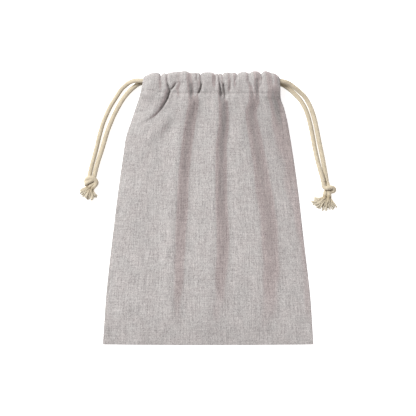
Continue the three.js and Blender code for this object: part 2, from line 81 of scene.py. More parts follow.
# The outline, the same on both panels: from the middle line to either side edge
OUTLINE = table(
    "up left right",
    (0, 0.1005, 0.1005),
    (0.044, 0.0976, 0.0976),
    (0.097, 0.0919, 0.0916),
    (0.151, 0.0852, 0.0854),
    (0.178, 0.0813, 0.0815),
    (0.197, 0.0785, 0.0785),
    (0.212, 0.0736, 0.0758),
    (0.224, 0.0694, 0.0728),
    (0.236, 0.0654, 0.069),
    (0.246, 0.0626, 0.0686),
    (0.254, 0.0614, 0.068),
    (0.26, 0.0595, 0.0655),
)

# Height of the front cloth: along the middle (crown), at its side edges (edge), and how square the arch
# between them is (fullness)
FRONT_LIE = table(
    "up crown edge fullness",
    (0, 0.0019, 0.0019, 2.4),
    (0.004, 0.0024, 0.0019, 2.4),
    (0.02, 0.0052, 0.0019, 2.1),
    (0.06, 0.0077, 0.0019, 2),
    (0.1, 0.0092, 0.0019, 2),
    (0.15, 0.0110, 0.0022, 2.1),
    (0.195, 0.0143, 0.00385, 2.6),
    (0.222, 0.0179, 0.0064, 3.6),
    (0.232, 0.0197, 0.0089, 5),
    (0.2385, 0.0206, 0.0126, 8),
    (0.2445, 0.0214, 0.015, 8),
    (0.25, 0.0216, 0.015, 8),
    (0.256, 0.0211, 0.015, 8),
    (0.262, 0.0202, 0.015, 8),
)

# Height of the back cloth: flat on the table, lifted only along its side seams near the casing
BACK_LIE = table(
    "up crown edge",
    (0, 0.0006, 0.0006),
    (0.15, 0.0006, 0.0007),
    (0.195, 0.0006, 0.0021),
    (0.222, 0.0006, 0.0046),
    (0.232, 0.0006, 0.0064),
    (0.239, 0.0006, 0.0016),
    (0.244, 0.0006, 0.0006),
    (0.262, 0.0006, 0.0006),
)

# The uneven top edge, before the creases notch it
TOP_EDGE = table(
    "across up",
    (-0.0595, 0.2545),
    (-0.0565, 0.2566),
    (-0.051, 0.2582),
    (-0.036, 0.2584),
    (-0.023, 0.2602),
    (-0.012, 0.2586),
    (0.005, 0.2586),
    (0.03, 0.2588),
    (0.054, 0.26),
    (0.061, 0.2588),
    (0.064, 0.2568),
    (0.0655, 0.2543),
)

# Folds of the front: where each one's steep flank lies, the distance from there to its ridge, and the
# ridge's height over the cloth around it
FRONT_FOLDS = {
    "left_fold": table(
        "up across reach rise",
        (0.259, -0.0158, 0.0045, 0.0006),
        (0.246, -0.0153, 0.0045, 0.0008),
        (0.233, -0.014, 0.006, 0.00195),
        (0.21, -0.018, 0.007, 0.00269),
        (0.164, -0.023, 0.007, 0.00245),
        (0.107, -0.026, 0.008, 0.00207),
        (0.061, -0.0285, 0.008, 0.00147),
        (0.026, -0.0305, 0.008, 0.000734),
        (0.008, -0.031, 0.008, 0),
    ),
    "middle_fold": table(
        "up across reach rise",
        (0.25, 0.013, 0.004, 0.000116),
        (0.237, 0.014, 0.005, 0.00224),
        (0.21, 0.015, 0.006, 0.00268),
        (0.187, 0.0125, 0.0065, 0.00256),
        (0.141, 0.0125, 0.007, 0.00234),
        (0.107, 0.014, 0.008, 0.00211),
        (0.061, 0.012, 0.008, 0.00156),
        (0.026, 0.009, 0.008, 0.000785),
        (0.006, 0.007, 0.008, 0),
    ),
    "right_fold": table(
        "up across reach rise",
        (0.248, 0.046, 0.005, 0.00059),
        (0.235, 0.045, 0.006, 0.00164),
        (0.221, 0.041, 0.006, 0.00175),
        (0.187, 0.047, 0.007, 0.00187),
        (0.153, 0.053, 0.008, 0.00198),
        (0.107, 0.059, 0.009, 0.00187),
        (0.055, 0.06, 0.009, 0.00129),
        (0.015, 0.058, 0.009, 0.000468),
        (0.003, 0.056, 0.009, 0),
    ),
    "edge_fold": table(
        "up across reach rise",
        (0.25, 0.066, 0.004, 0),
        (0.238, 0.063, 0.005, 0.0014),
        (0.221, 0.067, 0.005, 0.0015),
        (0.204, 0.072, 0.006, 0.0008),
        (0.178, 0.076, 0.006, 0),
    ),
    "slanting_fold": table(
        "up across reach rise",
        (0.25, -0.033, 0.0035, 0),
        (0.243, -0.035, 0.004, 0.0007),
        (0.235, -0.0397, 0.0045, 0.0012),
        (0.226, -0.0445, 0.005, 0.0011),
        (0.217, -0.0525, 0.0055, 0.0008),
        (0.208, -0.064, 0.006, 0),
    ),
    "faint_fold": table(
        "up across reach rise",
        (0.222, -0.031, 0.006, 0),
        (0.21, -0.038, 0.006, 0.00088),
        (0.2, -0.046, 0.007, 0.001),
        (0.182, -0.058, 0.008, 0),
    ),
}

# Flutes of the back, between which it lies flat on the table. They end in the casing, over a length from
# FLUTE_TOP on.
FLUTE_TOP = 0.232
FLUTE_FADE = 0.012
BACK_FLUTES = {
    "left_flute": table(
        "up across reach rise",
        (0.232, -0.038, 0.004, 0.0022),
        (0.19, -0.041, 0.006, 0.0015),
        (0.12, -0.046, 0.008, 0),
    ),
    "middle_flute": table(
        "up across reach rise",
        (0.232, -0.004, 0.0045, 0.0026),
        (0.18, -0.006, 0.007, 0.0016),
        (0.095, -0.008, 0.009, 0),
    ),
    "right_flute": table(
        "up across reach rise",
        (0.232, 0.033, 0.004, 0.0023),
        (0.19, 0.037, 0.006, 0.0014),
        (0.13, 0.042, 0.008, 0),
    ),
}

# Wide creases of the gathered casings, from the top fold to the seam: where each one starts and ends,
# half its width, and its depth at either end
FRONT_CREASES = table(
    "top foot reach deep_top deep_foot",
    (-0.0445, -0.0435, 0.00164, 0.0014, 0.0003),
    (-0.039, -0.0378, 0.001968, 0.0006, 0.0009),
    (-0.026, -0.0265, 0.002132, 0.001, 0.0012),
    (-0.0165, -0.0145, 0.002132, 0.0012, 0.0018),
    (-0.0065, -0.0086, 0.00164, 0.001, 0.0008),
    (0.0067, 0.0075, 0.00164, 0.0014, 0.0002),
    (0.0124, 0.0142, 0.002296, 0.0016, 0.0026),
    (0.0215, 0.0215, 0.00164, 0.001, 0.0014),
    (0.028, 0.026, 0.00164, 0.0014, 0.0002),
    (0.0383, 0.0435, 0.001804, 0.0012, 0.0015),
    (0.0505, 0.049, 0.001968, 0.0015, 0.0016),
    (0.06, 0.061, 0.002296, 0.0012, 0.0008),
)
BACK_CREASES = table(
    "top foot reach deep_top deep_foot",
    (-0.05, -0.048, 0.0028, 0.0009, 0.0004),
    (-0.037, -0.038, 0.0028, 0.0011, 0.0008),
    (-0.021, -0.022, 0.0028, 0.001, 0.0005),
    (-0.005, -0.004, 0.0028, 0.0012, 0.0008),
    (0.011, 0.014, 0.0028, 0.0009, 0.0005),
    (0.027, 0.033, 0.0028, 0.0011, 0.0008),
    (0.045, 0.047, 0.0028, 0.001, 0.0005),
)

# Fine creases of the gathered front, each a soft trough: where its bottom lies, half its width and its
# depth. A depth below zero is a puff between creases.
FINE_CREASES = {
    "left_nick": table(
        "up across reach depth",
        (0.2575, -0.0440, 0.00068, 0.00275),
        (0.2530, -0.0448, 0.00068, 0.00225),
        (0.2500, -0.0451, 0.00085, 0),
    ),
    "fork_stem": table(
        "up across reach depth",
        (0.2565, -0.0393, 0.000765, 0.001),
        (0.2500, -0.0386, 0.000765, 0.0025),
        (0.2450, -0.0374, 0.000765, 0.0045),
        (0.2421, -0.0362, 0.00085, 0.00525),
        (0.2365, -0.0379, 0.0008, 0.0043),
        (0.2318, -0.0400, 0.00085, 0.0034),
        (0.2252, -0.0438, 0.001, 0.002),
        (0.2187, -0.0490, 0.0014, 0.0012),
        (0.2140, -0.0558, 0.002, 0.0006),
        (0.2095, -0.0640, 0.0024, 0),
    ),
    "fork_right_arm": table(
        "up across reach depth",
        (0.2490, -0.0300, 0.000935, 0),
        (0.2460, -0.0318, 0.000765, 0.00225),
        (0.2430, -0.0342, 0.000765, 0.00275),
        (0.2405, -0.0362, 0.000935, 0),
    ),
    "soft_dip": table(
        "up across reach depth",
        (0.2520, -0.0235, 0.0016, 0),
        (0.2490, -0.0245, 0.0016, 0.0008),
        (0.2440, -0.0272, 0.0016, 0.0009),
        (0.2400, -0.0285, 0.0016, 0),
    ),
    "wide_hollow": table(
        "up across reach depth",
        (0.2560, -0.0178, 0.002, 0.0005),
        (0.2500, -0.0160, 0.0022, 0.0008),
        (0.2430, -0.0138, 0.0018, 0.0014),
        (0.2395, -0.0134, 0.0018, 0.0012),
        (0.2350, -0.0134, 0.002, 0),
    ),
    "narrow_nick": table(
        "up across reach depth",
        (0.2580, -0.0106, 0.00068, 0.001),
        (0.2530, -0.0106, 0.00068, 0.001375),
        (0.2500, -0.0104, 0.00068, 0),
    ),
    "deep_bow": table(
        "up across reach depth",
        (0.2570, -0.0070, 0.0007, 0.0018),
        (0.2515, -0.0064, 0.00065, 0.0033),
        (0.2460, -0.0063, 0.00065, 0.006),
        (0.2415, -0.0077, 0.0007, 0.0065),
        (0.2375, -0.0092, 0.0008, 0.0006),
        (0.2345, -0.0096, 0.0009, 0),
    ),
    "centre_puff": table(
        "up across reach depth",
        (0.2600, 0.0022, 0.0045, -0.0004),
        (0.2500, 0.0022, 0.005, -0.0008),
        (0.2420, 0.0022, 0.005, -0.0005),
        (0.2370, 0.0022, 0.005, 0),
    ),
    "centre_nick": table(
        "up across reach depth",
        (0.2580, 0.0063, 0.00068, 0.0015),
        (0.2530, 0.0074, 0.00068, 0.00125),
        (0.2500, 0.0082, 0.00068, 0),
    ),
    "centre_curl": table(
        "up across reach depth",
        (0.2570, 0.0095, 0.00068, 0.0015),
        (0.2530, 0.0109, 0.000765, 0.001625),
        (0.2495, 0.0124, 0.000765, 0),
    ),
    "deep_pair_left": table(
        "up across reach depth",
        (0.2530, 0.0105, 0.00068, 0),
        (0.2500, 0.0111, 0.00068, 0.00225),
        (0.2440, 0.0117, 0.00068, 0.00475),
        (0.2390, 0.0122, 0.000765, 0.0045),
        (0.2345, 0.0127, 0.00085, 0),
    ),
    "deep_pair_right": table(
        "up across reach depth",
        (0.2580, 0.0135, 0.000765, 0.00125),
        (0.2530, 0.0141, 0.000765, 0.0025),
        (0.2470, 0.0148, 0.000765, 0.00525),
        (0.2410, 0.0158, 0.00085, 0.00625),
        (0.2370, 0.0166, 0.000935, 0.00425),
        (0.2320, 0.0172, 0.00102, 0),
    ),
    "soft_groove": table(
        "up across reach depth",
        (0.2520, 0.0219, 0.000935, 0),
        (0.2490, 0.0218, 0.000935, 0.00125),
        (0.2440, 0.0215, 0.000935, 0.0015),
        (0.2400, 0.0213, 0.000935, 0),
    ),
    "small_curl": table(
        "up across reach depth",
        (0.2580, 0.0270, 0.00068, 0.0015),
        (0.2540, 0.0279, 0.00068, 0.0015),
        (0.2510, 0.0262, 0.000765, 0.00125),
        (0.2485, 0.0250, 0.000765, 0),
    ),
    "right_bow": table(
        "up across reach depth",
        (0.2570, 0.0388, 0.000765, 0.000875),
        (0.2510, 0.0388, 0.000765, 0.00125),
        (0.2470, 0.0412, 0.000765, 0.001375),
        (0.2440, 0.0442, 0.00085, 0),
    ),
    "wide_groove": table(
        "up across reach depth",
        (0.2530, 0.0472, 0.0016, 0),
        (0.2500, 0.0476, 0.0017, 0.0012),
        (0.2440, 0.0478, 0.0017, 0.0014),
        (0.2400, 0.0478, 0.0017, 0.0006),
        (0.2365, 0.0478, 0.0017, 0),
    ),
    "right_curl": table(
        "up across reach depth",
        (0.2590, 0.0500, 0.000765, 0.00225),
        (0.2555, 0.0522, 0.000765, 0.002),
        (0.2500, 0.0515, 0.00085, 0.00125),
        (0.2455, 0.0502, 0.00085, 0.0005),
        (0.2425, 0.0493, 0.00085, 0),
    ),
}

CREASE_END = 0.229  # the casing's wide creases are gone below here
CREASE_CHANGE = 2.2  # how soon above the seam a wide crease takes its upper depth
NOTCH = 0.8  # how far a wide crease draws the top fold down, as a share of its depth
FINE_NOTCH = 0.9  # the same for a fine crease
HEM_SHARE = 0.3  # share of a wide crease's depth that shows in the hem behind it
CORD_UP = 0.2508  # where the cords run inside the casing
DEEPEST_AT_CORD = 0.0021  # no crease reaches deeper over the cord
DEEPEST_ELSEWHERE = 0.0055
CORD_WIDTH = 0.0020  # half the height over which the cord stops a crease
CORD_WIDTH_FADE = 0.0026
STOP_SHARPNESS = 4  # how suddenly it does

# The two casings, each around its own cord: the cord's height in the middle and at the side openings,
# how far the top fold lies below the top edge, and which way in height leads to the pouch's inside
FRONT_CASING = {"middle": 0.0164, "end": 0.0113, "below": 0.0, "inward": -1}
BACK_CASING = {"middle": 0.0036, "end": 0.0036, "below": 0.002, "inward": 1}
CASING_FULLNESS = 6  # how square the front cord's rise is between its ends

BACK_FLAT_SHARE = 0.82  # of the width from the middle line, before the back cloth lifts to a seam
ARCH_POWER = 0.9  # how soon the front's arch leaves its side edges
HELD_SHARE = 0.08  # of the width, beside an edge, over which folds fade into the seam

# The casing's row of stitches, and what its thread does to the cloth
STITCH_LINE = table(
    "across up",
    (-0.0660, 0.2428),
    (-0.0560, 0.2414),
    (-0.0410, 0.2389),
    (-0.0250, 0.2383),
    (0.0050, 0.2386),
    (0.0350, 0.2381),
    (0.0700, 0.2385),
)
STITCH_DIP = 0.00065
STITCH_DIP_REACH = 0.0007
PUCKER = 0.00018  # height of the small puckers beside the thread
PUCKER_REACH = 0.0028
PUCKER_PITCH = 0.0053
PUCKER_DRIFT = 1.7  # radians of the pitch by which a pucker may lie off its place,
PUCKER_DRIFT_RATE = 90  # and how fast that changes across the pouch, in radians a metre

# How uneven the cloth lies between its folds
WRINKLE_SEED = 7
WRINKLE_WAVES = 18
WRINKLE_LENGTHS = (0.014, 0.060)
WRINKLE_HEIGHT = 0.00022
WRINKLE_TURN = 0.5  # how far the waves turn from running along the pouch

SEAM_END = 0.231  # the side seams end here, and the casings part
OPEN_LIP = 0.0006  # how far an edge curls in at the casing's open ends
LIP_STEPS = 4
LIP_SHARES = np.linspace(0, 1, LIP_STEPS + 1)[1:]  # how far round the curl each of its steps is
LIP_GAP = 0.00003  # between the two panels in a seam
EDGES = {-1: (0, 1), 1: (-1, -2)}  # a sheet's left and right edge: its last column and the one beside it
STEEPEST_EDGE = 1.5  # slope at a side edge beyond which the curl doesn't lean further
THIRDS = (1 / 3, 2 / 3)
HEM_ROWS = 10

# The side of a fold that falls away from the lamp gets painted rosy shade: the slope at which that starts,
# the change of slope over which it does, and the same for its end, where a crease's wall is too steep and
# stays grey
PAINTED_LEE_SHADE_START = 0.05
PAINTED_LEE_SHADE_LENGTH = 0.22
PAINTED_LEE_SHADE_END = 0.45
PAINTED_LEE_SHADE_FADE = 0.5

SMALL = 1e-9  # keeps a division from failing


def smooth(share):
    """Rises from 0 to 1 with level ends."""
    share = np.clip(share, 0, 1)
    return share * share * (3 - 2 * share)


def bell(distance, reach):
    """1 in the middle, and almost nothing from three times the reach on."""
    return np.exp(-0.5 * (distance / reach) ** 2)


def fold_profile(share):
    """A ridge at minus one reach, an equal trough at plus one, steepest between them."""
    return -share * np.exp(0.5 - 0.5 * share * share)


def mix(a, b, share):
    """a where the share is 0, and b where it is 1."""
    return a + (b - a) * share


def column(rows, name, place, key="up"):
    """One column of a table at each place, as a smooth curve that never overshoots its rows."""
    order = np.argsort(rows[key])
    at, value = rows[key][order], rows[name][order]
    rise = np.diff(value) / np.diff(at)
    before, after = rise[:-1], rise[1:]
    same_way = before * after > 0
    total = np.where(same_way, before + after, 1)
    slope = np.concatenate(([rise[0]], np.where(same_way, 2 * before * after / total, 0), [rise[-1]]))
    place = np.clip(place, at[0], at[-1])
    i = np.clip(np.searchsorted(at, place) - 1, 0, len(at) - 2)
    span = at[i + 1] - at[i]
    share = (place - at[i]) / span
    away = 1 - share
    level = value[i] * (1 + 2 * share) * away**2 + value[i + 1] * (3 - 2 * share) * share**2
    return level + span * (slope[i] * share * away**2 - slope[i + 1] * share**2 * away)


def across_of(side, up):
    """The place across the pouch: side is -1 at the left edge, 0 on the middle line, 1 at the right."""
    return side * np.where(side < 0, column(OUTLINE, "left", up), column(OUTLINE, "right", up))


def folds_height(folds, profile, across, up):
    """How much the folds raise the cloth, each with the same profile."""
    height = 0
    for rows in folds.values():
        share = (across - column(rows, "across", up)) / column(rows, "reach", up)
        height = height + column(rows, "rise", up) * profile(share)
    return height


def wide_crease_depth(creases, across, up):
    """How deep the wide creases are. Each runs straight from the top fold to the seam."""
    share = np.clip((up - CASING_SEAM) / (LENGTH - CASING_SEAM), 0, 1)
    depth = 0
    for top, foot, reach, deep_top, deep_foot in zip(*creases.values()):
        deep = mix(deep_foot, deep_top, smooth(share * CREASE_CHANGE))
        depth = depth + deep * bell(across - mix(foot, top, share), reach)
    return depth * smooth((up - CREASE_END) / (CASING_SEAM - CREASE_END))


def fine_crease_depth(creases, across, up):
    """How deep the fine creases are. Each follows its own rows."""
    depth = 0
    for rows in creases.values():
        distance = across - column(rows, "across", up)
        depth = depth + column(rows, "depth", up) * bell(distance, column(rows, "reach", up))
    return depth


def held_off_cord(depth, up):
    """A crease's depth, softly stopped by the cord inside the casing."""
    away = smooth((np.abs(up - CORD_UP) - CORD_WIDTH) / CORD_WIDTH_FADE)
    deepest = mix(DEEPEST_AT_CORD, DEEPEST_ELSEWHERE, away)
    pressed = np.clip(depth, 0, None)
    stop = (1 + (pressed / deepest) ** STOP_SHARPNESS) ** (1 / STOP_SHARPNESS)
    return np.minimum(depth, 0) + pressed / stop


def stitch_relief(across, up):
    """The dip along the row of stitches, and the small puckers that the thread draws beside it."""
    distance = up - column(STITCH_LINE, "up", across, "across")
    drift = PUCKER_DRIFT * np.sin(across * PUCKER_DRIFT_RATE)
    ripple = np.sin(2 * math.pi * across / PUCKER_PITCH + drift)
    return PUCKER * ripple * bell(distance, PUCKER_REACH) - STITCH_DIP * bell(distance, STITCH_DIP_REACH)


def wrinkles(across, up, seed):
    """Low uneven waves in all directions, mostly along the pouch."""
    rng = np.random.default_rng(seed)
    height = 0
    for _ in range(WRINKLE_WAVES):
        length = rng.uniform(*WRINKLE_LENGTHS)
        angle = rng.normal(0, WRINKLE_TURN)
        phase = rng.uniform(0, 2 * math.pi)
        along = across * math.cos(angle) + up * math.sin(angle)
        height = height + np.sin(2 * math.pi * along / length + phase) * length
    return height * WRINKLE_HEIGHT / (WRINKLE_LENGTHS[1] * math.sqrt(WRINKLE_WAVES) / 2)


def front_height(side, up):
    """The front cloth's height: its arch, with folds, creases, wrinkles and the row of stitches."""
    across = across_of(side, up)
    edge = column(FRONT_LIE, "edge", up)
    arch = np.clip(1 - np.abs(side) ** column(FRONT_LIE, "fullness", up), 0, 1) ** ARCH_POWER
    level = mix(edge, column(FRONT_LIE, "crown", up), arch)
    held = smooth((1 - np.abs(side)) / HELD_SHARE)
    relief = folds_height(FRONT_FOLDS, fold_profile, across, up)
    depth = wide_crease_depth(FRONT_CREASES, across, up) + fine_crease_depth(FINE_CREASES, across, up)
    relief = relief - held_off_cord(depth, up) + wrinkles(across, up, WRINKLE_SEED)
    return level + relief * held + stitch_relief(across, up)


def back_height(side, up):
    """The back cloth's height: flat on the table, with low flutes below its casing."""
    across = across_of(side, up)
    crown = column(BACK_LIE, "crown", up)
    lift = smooth((np.abs(side) - BACK_FLAT_SHARE) / (1 - BACK_FLAT_SHARE))
    flutes = folds_height(BACK_FLUTES, lambda share: bell(share, 1), across, up)
    lying = 1 - smooth((up - FLUTE_TOP) / FLUTE_FADE)
    return mix(crown, column(BACK_LIE, "edge", up), lift) + flutes * lying * (1 - lift)


def hem_height(panel, side, up):
    """The hem behind the cord: beside the panel at its end, and clear of the cord further up."""
    casing = panel["casing"]
    beside = panel["height"](side, up) + casing["inward"] * HEM_OFFSET
    fullness = 1 - np.abs(side) ** CASING_FULLNESS
    cord = mix(casing["end"], casing["middle"], fullness)
    crease = wide_crease_depth(panel["creases"], across_of(side, up), up) * HEM_SHARE
    below = cord + casing["inward"] * (CORD_ROOM + crease)
    return mix(beside, below, smooth((up - CASING_SEAM) / BELLY))


def top_fold(panel, side):
    """How far up the top fold reaches: the uneven top edge, notched by the creases."""
    across = across_of(side, LENGTH)
    notch = wide_crease_depth(panel["creases"], across, LENGTH) * NOTCH
    notch = notch + np.clip(fine_crease_depth(panel["fine_creases"], across, LENGTH), 0, None) * FINE_NOTCH
    return column(TOP_EDGE, "up", across, "across") - panel["casing"]["below"] - notch


# The two panels: the CAD node that each stands for, its shape, and how fine its mesh is (its columns, its
# even rows as stretches with an end and a step, and its steps round the top fold)
FRONT = {
    "name": "front_cloth",
    "stands_for": "front_panel",
    "stitches": "casing_stitches_front",
    "height": front_height,
    "creases": FRONT_CREASES,
    "fine_creases": FINE_CREASES,
    "casing": FRONT_CASING,
    "facing": 1,
    "columns": 330,
    "steps": ((0.2, 0.0036), (PANEL_END, 0.0010)),
    "turns": 12,
}
BACK = {
    "name": "back_cloth",
    "stands_for": "back_panel",
    "stitches": "casing_stitches_back",
    "height": back_height,
    "creases": BACK_CREASES,
    "fine_creases": {},
    "casing": BACK_CASING,
    "facing": -1,
    "columns": 170,
    "steps": ((0.2, 0.0040), (PANEL_END, 0.0020)),
    "turns": 8,
}


def even_ups(start, steps):
    """Even rows from start, in stretches that each have their own end and step."""
    ups = [start]
    for end, step in steps:
        count = max(1, round((end - ups[-1]) / step))
        ups.extend(np.linspace(ups[-1], end, count + 1)[1:])
    return ups


def panel_rows(panel, side, start):
    """The sheet's rows from near the bottom edge, over the top fold, to the end of the hem. Each one is
    its ups, its heights, and its angle: 0 on the panel, pi on the hem and between them in the fold."""

    def on_panel(up):
        return up, panel["height"](side, up), 0.0

    def on_hem(up):
        return up, hem_height(panel, side, up), math.pi

    level = np.ones_like(side)
    rows = [on_panel(up * level) for up in even_ups(start, panel["steps"])]
    top = top_fold(panel, side)
    turn = np.maximum(top - FOLD_DEPTH, TURN_START)
    rows += [on_panel(mix(PANEL_END, turn, share)) for share in THIRDS]
    outside, inside = panel["height"](side, turn), hem_height(panel, side, turn)
    middle = (outside + inside) / 2
    for angle in np.linspace(0, math.pi, panel["turns"] + 1):
        up = turn + (top - turn) * math.sin(angle)
        rows.append((up, middle + (outside - middle) * math.cos(angle), angle))
    rows += [on_hem(mix(PANEL_END, turn, share)) for share in reversed(THIRDS)]
    rows += [on_hem(up * level) for up in np.linspace(PANEL_END, HEM_END, HEM_ROWS)]
    return rows


def seam_gap(up):
    """Half the height between the two panels' edges, up to the end of the side seams."""
    between = column(FRONT_LIE, "edge", up) - column(BACK_LIE, "edge", up)
    return mix(between / 2 - LIP_GAP, OPEN_LIP, smooth((up - SEAM_END) / (CASING_SEAM - SEAM_END)))


def side_lip(middle, normal, curl, way, thickness):
    """How a side edge curls inwards: how far out and down each step of the curl lies in each row, and how
    much the cloth beside it is drawn in."""
    edge, inner = EDGES[way]
    run = middle[:, edge] - middle[:, inner]
    fall = -np.sum(run * normal, axis=1) / np.maximum(way * run[:, 0], SMALL)
    lean = np.arctan(np.clip(fall, 0, STEEPEST_EDGE))
    radius = curl / np.cos(lean)
    turn = lean[:, None] + (math.pi / 2 - lean)[:, None] * LIP_SHARES
    out = radius[:, None] * (np.sin(turn) - np.sin(lean)[:, None])
    drop = radius[:, None] * (np.cos(lean)[:, None] - np.cos(turn))
    return {"out": out, "drop": drop, "shrink": out[:, -1] + thickness / 2}


def with_side_lips(middle, flat, lips):
    """The sheet's points and places with a few columns more at either side, and how far each point is
    still to be lowered into the seam."""
    points, places, drops = [], [], []
    for way, lip in lips.items():
        edge = EDGES[way][0]
        base = np.repeat(middle[:, edge][:, None], LIP_STEPS, axis=1)
        base[:, :, 0] += way * lip["out"]
        place = np.repeat(flat[:, edge][:, None], LIP_STEPS, axis=1)
        place[:, :, 0] += way * (lip["out"] + lip["drop"]) / 2
        for kept, steps in ((points, base), (places, place), (drops, lip["drop"])):
            kept.append(steps[:, ::way])
    return (
        np.concatenate([points[0], middle, points[1]], axis=1),
        np.concatenate([places[0], flat, places[1]], axis=1),
        np.concatenate([drops[0], np.zeros(middle.shape[:2]), drops[1]], axis=1),
    )


def with_bottom_lip(points, places, drop, half):
    """The same with a few rows more along the bottom, which share their drop with the side edges' in the
    corners."""
    turn = (LIP_SHARES * math.pi / 2)[::-1]
    lip_points = np.repeat(points[:1], LIP_STEPS, axis=0)
    lip_points[:, :, 1] -= (half * np.sin(turn))[:, None]
    lip_places = np.repeat(places[:1], LIP_STEPS, axis=0)
    lip_places[:, :, 1] -= (half * turn)[:, None]
    taken = 1 - (1 - drop[:1] / half) * np.cos(turn)[:, None]
    return (
        np.concatenate([lip_points, points], axis=0),
        np.concatenate([lip_places, places], axis=0),
        np.concatenate([half * taken, drop], axis=0),
    )


def panel_points(panel, thickness):
    """The points in the middle of a panel's cloth, and each one's place on the flat cloth. The sheet
    curls inwards at its bottom and side edges, where the two panels meet in a seam."""
    half = seam_gap(0.0)
    side = np.linspace(-1, 1, panel["columns"] + 1)
    rows = panel_rows(panel, side, half + thickness / 2)
    up, height, angle = (np.array(values) for values in zip(*rows))
    normal = np.stack([np.zeros_like(angle), np.sin(angle), panel["facing"] * np.cos(angle)], axis=1)
    across = np.array([across_of(side, ups) for ups in up])
    bow = BOTTOM_BOW * (1 - side**2) * smooth(1 - up / BOW_END)
    middle = np.stack([across, BOTTOM + up - bow, height], axis=2)
    curl = np.where(angle > 0, OPEN_LIP, seam_gap(up[:, 0]))
    lips = {way: side_lip(middle, normal, curl, way, thickness) for way in EDGES}
    for way, lip in lips.items():
        share = 1 - lip["shrink"] / np.abs(middle[:, EDGES[way][0], 0])
        middle[:, side * way > 0, 0] *= share[:, None]
    along = lengths_along(middle[:, len(side) // 2])
    flat = np.stack(np.broadcast_arrays(side * FLAT_WIDTH / 2, along[:, None]), axis=2)
    points, places, drop = with_bottom_lip(*with_side_lips(middle, flat, lips), half)
    normal = np.concatenate([np.repeat(normal[:1], LIP_STEPS, axis=0), normal], axis=0)
    return points - normal[:, None, :] * drop[:, :, None], places


def painted_lee_shade_share(points):
    """How far the cloth falls away to the right at each point, from 0 to 1: the share of painted rosy shade
    on the side of its folds that falls away from the lamp.
    """
    run = np.gradient(points[:, :, 0], axis=1)
    fall = -np.gradient(points[:, :, 2], axis=1) / np.maximum(run, SMALL)
    steep = smooth((fall - PAINTED_LEE_SHADE_END) / PAINTED_LEE_SHADE_FADE)
    return smooth((fall - PAINTED_LEE_SHADE_START) / PAINTED_LEE_SHADE_LENGTH) * (1 - steep)


def lengths_along(line):
    """The distance along a line of points, at each of them."""
    return np.concatenate([[0], np.cumsum(np.linalg.norm(np.diff(line, axis=0), axis=1))])


# The cords' routes: the two runs inside the casings and the four free strands
ROUTES = {
    "cord_front_inner": [
        (-0.0581, 0.1212, 0.0132), (-0.0531, 0.1212, 0.01475), (-0.045, 0.1209, 0.0157),
        (-0.03, 0.1206, 0.0163), (-0.008, 0.1208, 0.0164), (0.018, 0.1206, 0.0164),
        (0.04, 0.1208, 0.0162), (0.05, 0.1208, 0.0156), (0.059, 0.1208, 0.0144),
        (0.064, 0.1208, 0.013),
    ],
    "cord_back_inner": [
        (-0.0581, 0.1193, 0.0036), (-0.0531, 0.1193, 0.0036), (-0.02, 0.1198, 0.0036),
        (0.02, 0.1196, 0.0036), (0.059, 0.1182, 0.0036), (0.064, 0.1182, 0.0036),
    ],
    "cord_front_left": [
        (-0.0584, 0.1212, 0.0131), (-0.0634, 0.1212, 0.0115), (-0.0692, 0.1213, 0.0089),
        (-0.0746, 0.1196, 0.0064), (-0.0792, 0.1164, 0.0046), (-0.0833, 0.1123, 0.0032),
        (-0.0882, 0.1049, 0.0024), (-0.0929, 0.0973, 0.0023), (-0.0966, 0.0896, 0.0023),
        (-0.0998, 0.082, 0.0023), (-0.1022, 0.0743, 0.0023), (-0.1042, 0.0667, 0.0023),
        (-0.106, 0.059, 0.0023), (-0.1079, 0.0514, 0.0023), (-0.1101, 0.0437, 0.0023),
        (-0.112, 0.036, 0.0025), (-0.1133, 0.03, 0.0031),
    ],
    "cord_back_left": [
        (-0.0584, 0.1193, 0.0036), (-0.0634, 0.1193, 0.0036), (-0.067, 0.118, 0.0033),
        (-0.07, 0.1158, 0.0028), (-0.0748, 0.1115, 0.0023), (-0.0806, 0.1045, 0.0023),
        (-0.0852, 0.097, 0.0023), (-0.0892, 0.0894, 0.0023), (-0.0925, 0.0819, 0.0023),
        (-0.0955, 0.0743, 0.0023), (-0.0979, 0.0667, 0.0023), (-0.1001, 0.059, 0.0023),
        (-0.1025, 0.0514, 0.0023), (-0.105, 0.0437, 0.0023), (-0.1071, 0.036, 0.0023),
        (-0.1085, 0.03, 0.0023),
    ],
    "cord_front_right": [
        (0.0643, 0.1208, 0.0129), (0.0693, 0.1208, 0.0115), (0.0766, 0.1188, 0.0086),
        (0.0829, 0.1145, 0.006), (0.0878, 0.1105, 0.0042), (0.0924, 0.1058, 0.003),
        (0.0966, 0.0987, 0.0024), (0.0999, 0.0905, 0.0023), (0.1021, 0.0826, 0.0023),
        (0.1038, 0.0749, 0.0023), (0.1053, 0.067, 0.0023), (0.1068, 0.0595, 0.0023),
        (0.1084, 0.0519, 0.0023), (0.1099, 0.0443, 0.0023), (0.1113, 0.0366, 0.0023),
        (0.1125, 0.0296, 0.0024), (0.113, 0.0256, 0.0026),
    ],
    "cord_back_right": [
        (0.0643, 0.1182, 0.0036), (0.0693, 0.1182, 0.0036), (0.0752, 0.1152, 0.003),
        (0.0802, 0.1111, 0.0024), (0.0875, 0.1035, 0.0023), (0.0919, 0.0964, 0.0023),
        (0.0949, 0.089, 0.0023), (0.097, 0.0814, 0.0023), (0.0987, 0.0737, 0.0023),
        (0.1001, 0.0663, 0.0023), (0.1015, 0.0585, 0.0023), (0.1031, 0.0508, 0.0024),
        (0.1049, 0.0431, 0.003), (0.1068, 0.036, 0.0042), (0.1087, 0.0294, 0.0055),
        (0.1096, 0.0254, 0.0062),
    ],
}

